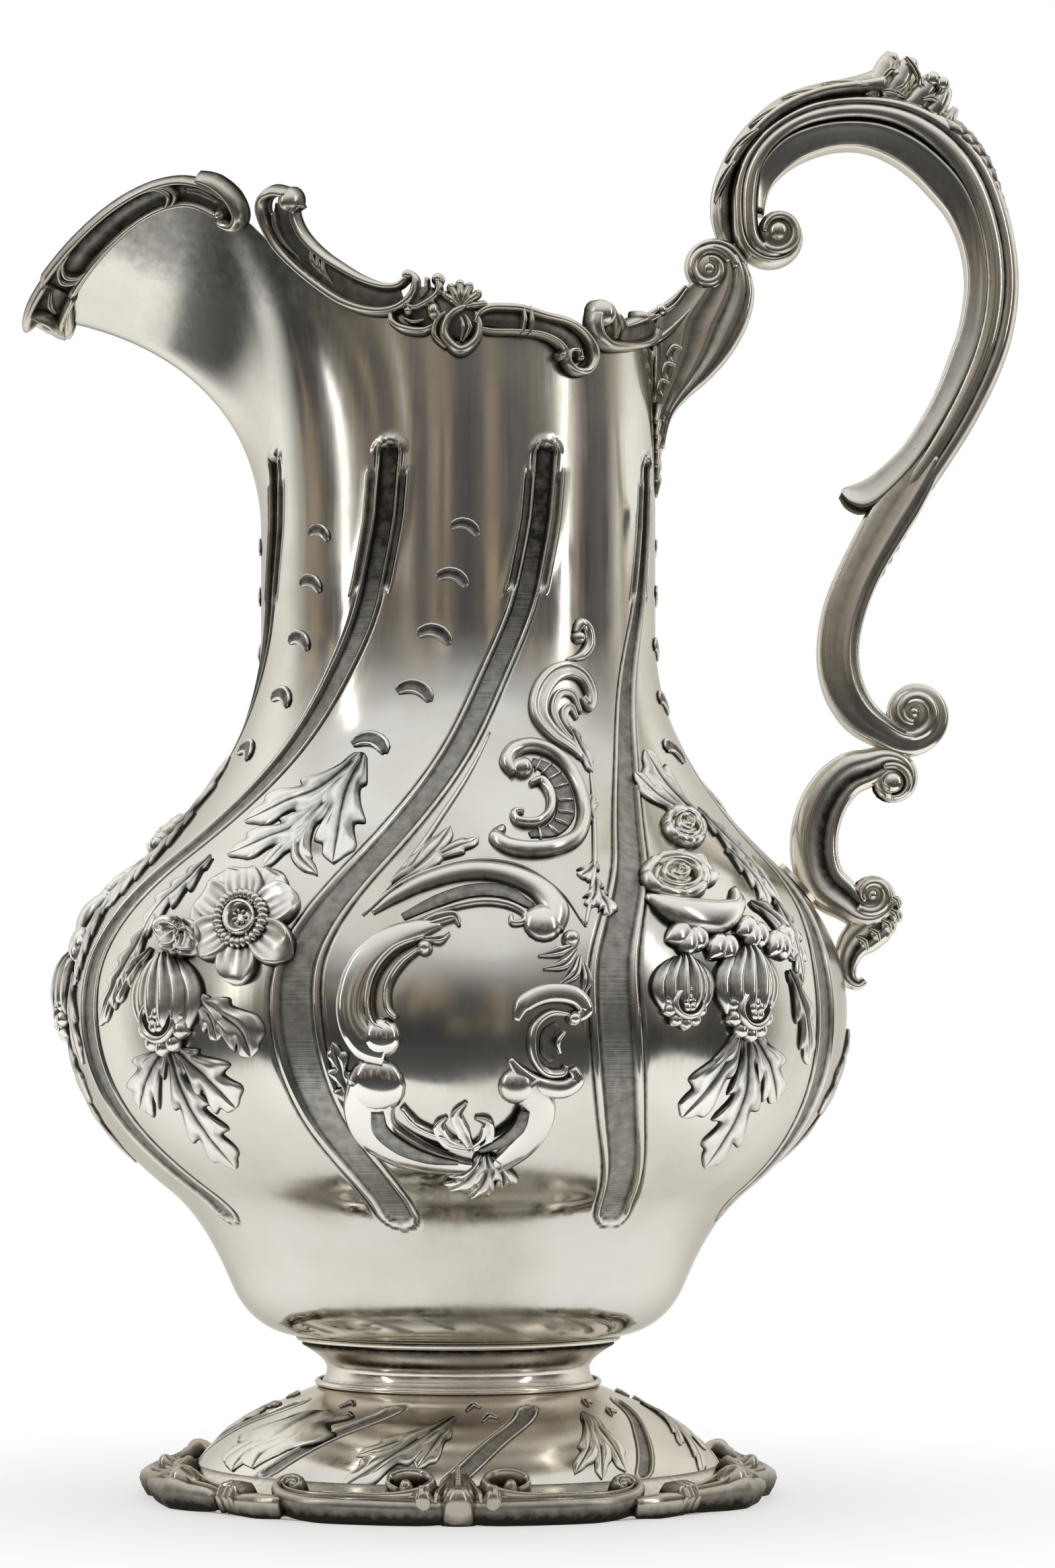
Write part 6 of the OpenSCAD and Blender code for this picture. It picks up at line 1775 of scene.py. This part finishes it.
def paleFloor():
    mesh = bpy.data.meshes.new("floor")
    left, right, front, back = (ground[key] for key in ("left", "right", "front", "back"))
    mesh.from_pydata([(left, front, 0), (right, front, 0), (right, back, 0), (left, back, 0)], [],
                     [(0, 1, 2, 3)])
    finish = bpy.data.materials.new("paleFloor")
    finish.use_nodes = True
    tree = finish.node_tree
    shader = tree.nodes["Principled BSDF"]
    shader.inputs["Base Color"].default_value = ground["shade"]
    shader.inputs["Roughness"].default_value = ground["rough"]
    where = addNode(tree, "ShaderNodeTexCoord").outputs["Object"]
    reach = addNode(tree, "ShaderNodeVectorMath", {0: where}, operation="LENGTH").outputs["Value"]
    limits = dict(zip(("From Min", "From Max", "To Min"), ground["shadow"]), Value=reach)
    far = addNode(tree, "ShaderNodeMapRange", limits, interpolation_type="SMOOTHSTEP").outputs[0]
    rays = addNode(tree, "ShaderNodeLightPath").outputs
    seen = {0: rays["Is Camera Ray"], 1: rays["Is Glossy Ray"]}
    seen = addNode(tree, "ShaderNodeMath", seen, operation="MAXIMUM").outputs[0]
    both = addNode(tree, "ShaderNodeMath", {0: seen, 1: far}, operation="MULTIPLY").outputs[0]
    white = addNode(tree, "ShaderNodeEmission").outputs[0]
    mix = addNode(tree, "ShaderNodeMixShader", {0: both, 1: shader.outputs[0], 2: white})
    tree.links.new(mix.outputs[0], tree.nodes["Material Output"].inputs["Surface"])
    mesh.materials.append(finish)
    floor = bpy.data.objects.new("floor", mesh)
    scene.collection.objects.link(floor)


room = {  # what the silver sees: levels from down to up, and streaked walls on the camera's side
    "levels": [(0.0, 0.22), (0.3, 0.07), (0.42, 0.04), (0.5, 0.035), (0.58, 0.06), (0.66, 0.17), (0.75, 0.45),
               (0.85, 0.78), (1.0, 0.9)],
    "sky": (0.97, 0.98, 1.0), "plain": (1, 1, 1, 1),
    "streaks": [(0.36, (0.012, 0.011, 0.013)), (0.46, (0.045, 0.04, 0.042)), (0.53, (0.08, 0.068, 0.05)),
                (0.58, (0.34, 0.27, 0.17)), (0.62, (0.14, 0.12, 0.13)), (0.68, (0.7, 0.66, 0.58))],
    "streakScale": 4.6, "streakDetail": 3.0, "streakRough": 0.6, "streakLean": 0.25,
    "wallTop": (0.62, 0.22), "wallFoot": (-0.3, 0.08), "white": (0.5, 0.08),
}


def rampOf(tree, value, stops):
    ramp = addNode(tree, "ShaderNodeValToRGB", {0: value})
    ramp.color_ramp.interpolation = "EASE"
    ramp.color_ramp.elements[0].position = stops[0][0]
    ramp.color_ramp.elements[1].position = stops[-1][0]
    for place, colour in stops[1:-1]:
        ramp.color_ramp.elements.new(place)
    for element, (place, colour) in zip(ramp.color_ramp.elements, stops):
        element.color = (*colour, 1)
    return ramp.outputs[0]


def studio():
    world = bpy.data.worlds.new("studio")
    scene.world = world
    world.use_nodes = True
    tree = world.node_tree

    def maths(kind, a, b):
        return addNode(tree, "ShaderNodeMath", {0: a, 1: b}, operation=kind).outputs[0]

    def mixed(factor, first, second, blend="MIX"):
        parts = {0: factor, 6: first, 7: second}
        return addNode(tree, "ShaderNodeMix", parts, data_type="RGBA", blend_type=blend).outputs[2]

    def faded(value, span):
        limits = {"Value": value, "From Min": span[0], "From Max": span[1]}
        return addNode(tree, "ShaderNodeMapRange", limits, interpolation_type="SMOOTHSTEP").outputs[0]

    where = addNode(tree, "ShaderNodeTexCoord").outputs["Generated"]
    parts = addNode(tree, "ShaderNodeSeparateXYZ", {0: where}).outputs
    height = addNode(tree, "ShaderNodeMapRange", {"Value": parts["Z"], "From Min": -1}).outputs[0]
    levels = rampOf(tree, height, [(z, tuple(level * c for c in room["sky"])) for z, level in room["levels"]])
    turn = maths("ARCTAN2", parts["X"], maths("MULTIPLY", parts["Y"], -1))
    lean = maths("MULTIPLY", parts["Z"], room["streakLean"])
    spot = addNode(tree, "ShaderNodeCombineXYZ", {"X": turn, "Y": lean}).outputs[0]
    clouds = {"Vector": spot, "Scale": room["streakScale"], "Detail": room["streakDetail"],
              "Roughness": room["streakRough"]}
    streaks = rampOf(tree, addNode(tree, "ShaderNodeTexNoise", clouds).outputs["Fac"], room["streaks"])
    reach = maths("MULTIPLY", faded(parts["Z"], room["wallTop"]), faded(parts["Z"], room["wallFoot"]))
    walls = mixed(reach, levels, streaks, "ADD")
    around = mixed(faded(parts["Y"], room["white"]), room["plain"], walls)
    straight = addNode(tree, "ShaderNodeLightPath").outputs["Is Camera Ray"]
    back = tree.nodes["Background"]
    tree.links.new(mixed(straight, around, room["plain"]), back.inputs["Color"])
    back.inputs["Strength"].default_value = 1.0


softBoxes = {"aim": (0, 0, 0.17), "lamps": [("boxLeft", (-1.7, -0.7, 0.9), (0.09, 1.5), 2.6),
                                            ("boxRight", (1.6, -0.8, 0.8), (0.07, 1.4), 2.4)]}


def softBox(name, place, size, watts):
    lamp = bpy.data.lights.new(name, "AREA")
    lamp.shape = "RECTANGLE"
    lamp.size, lamp.size_y = size
    lamp.energy = watts
    stand = bpy.data.objects.new(name, lamp)
    scene.collection.objects.link(stand)
    stand.location = place
    away = np.array(place) - softBoxes["aim"]
    yaw = math.atan2(away[1], away[0]) + math.pi / 2
    stand.rotation_euler = (math.atan2(math.hypot(away[0], away[1]), away[2]), 0, yaw)


paleFloor()
studio()
for lamp in softBoxes["lamps"]:
    softBox(*lamp)
print("studio lit")
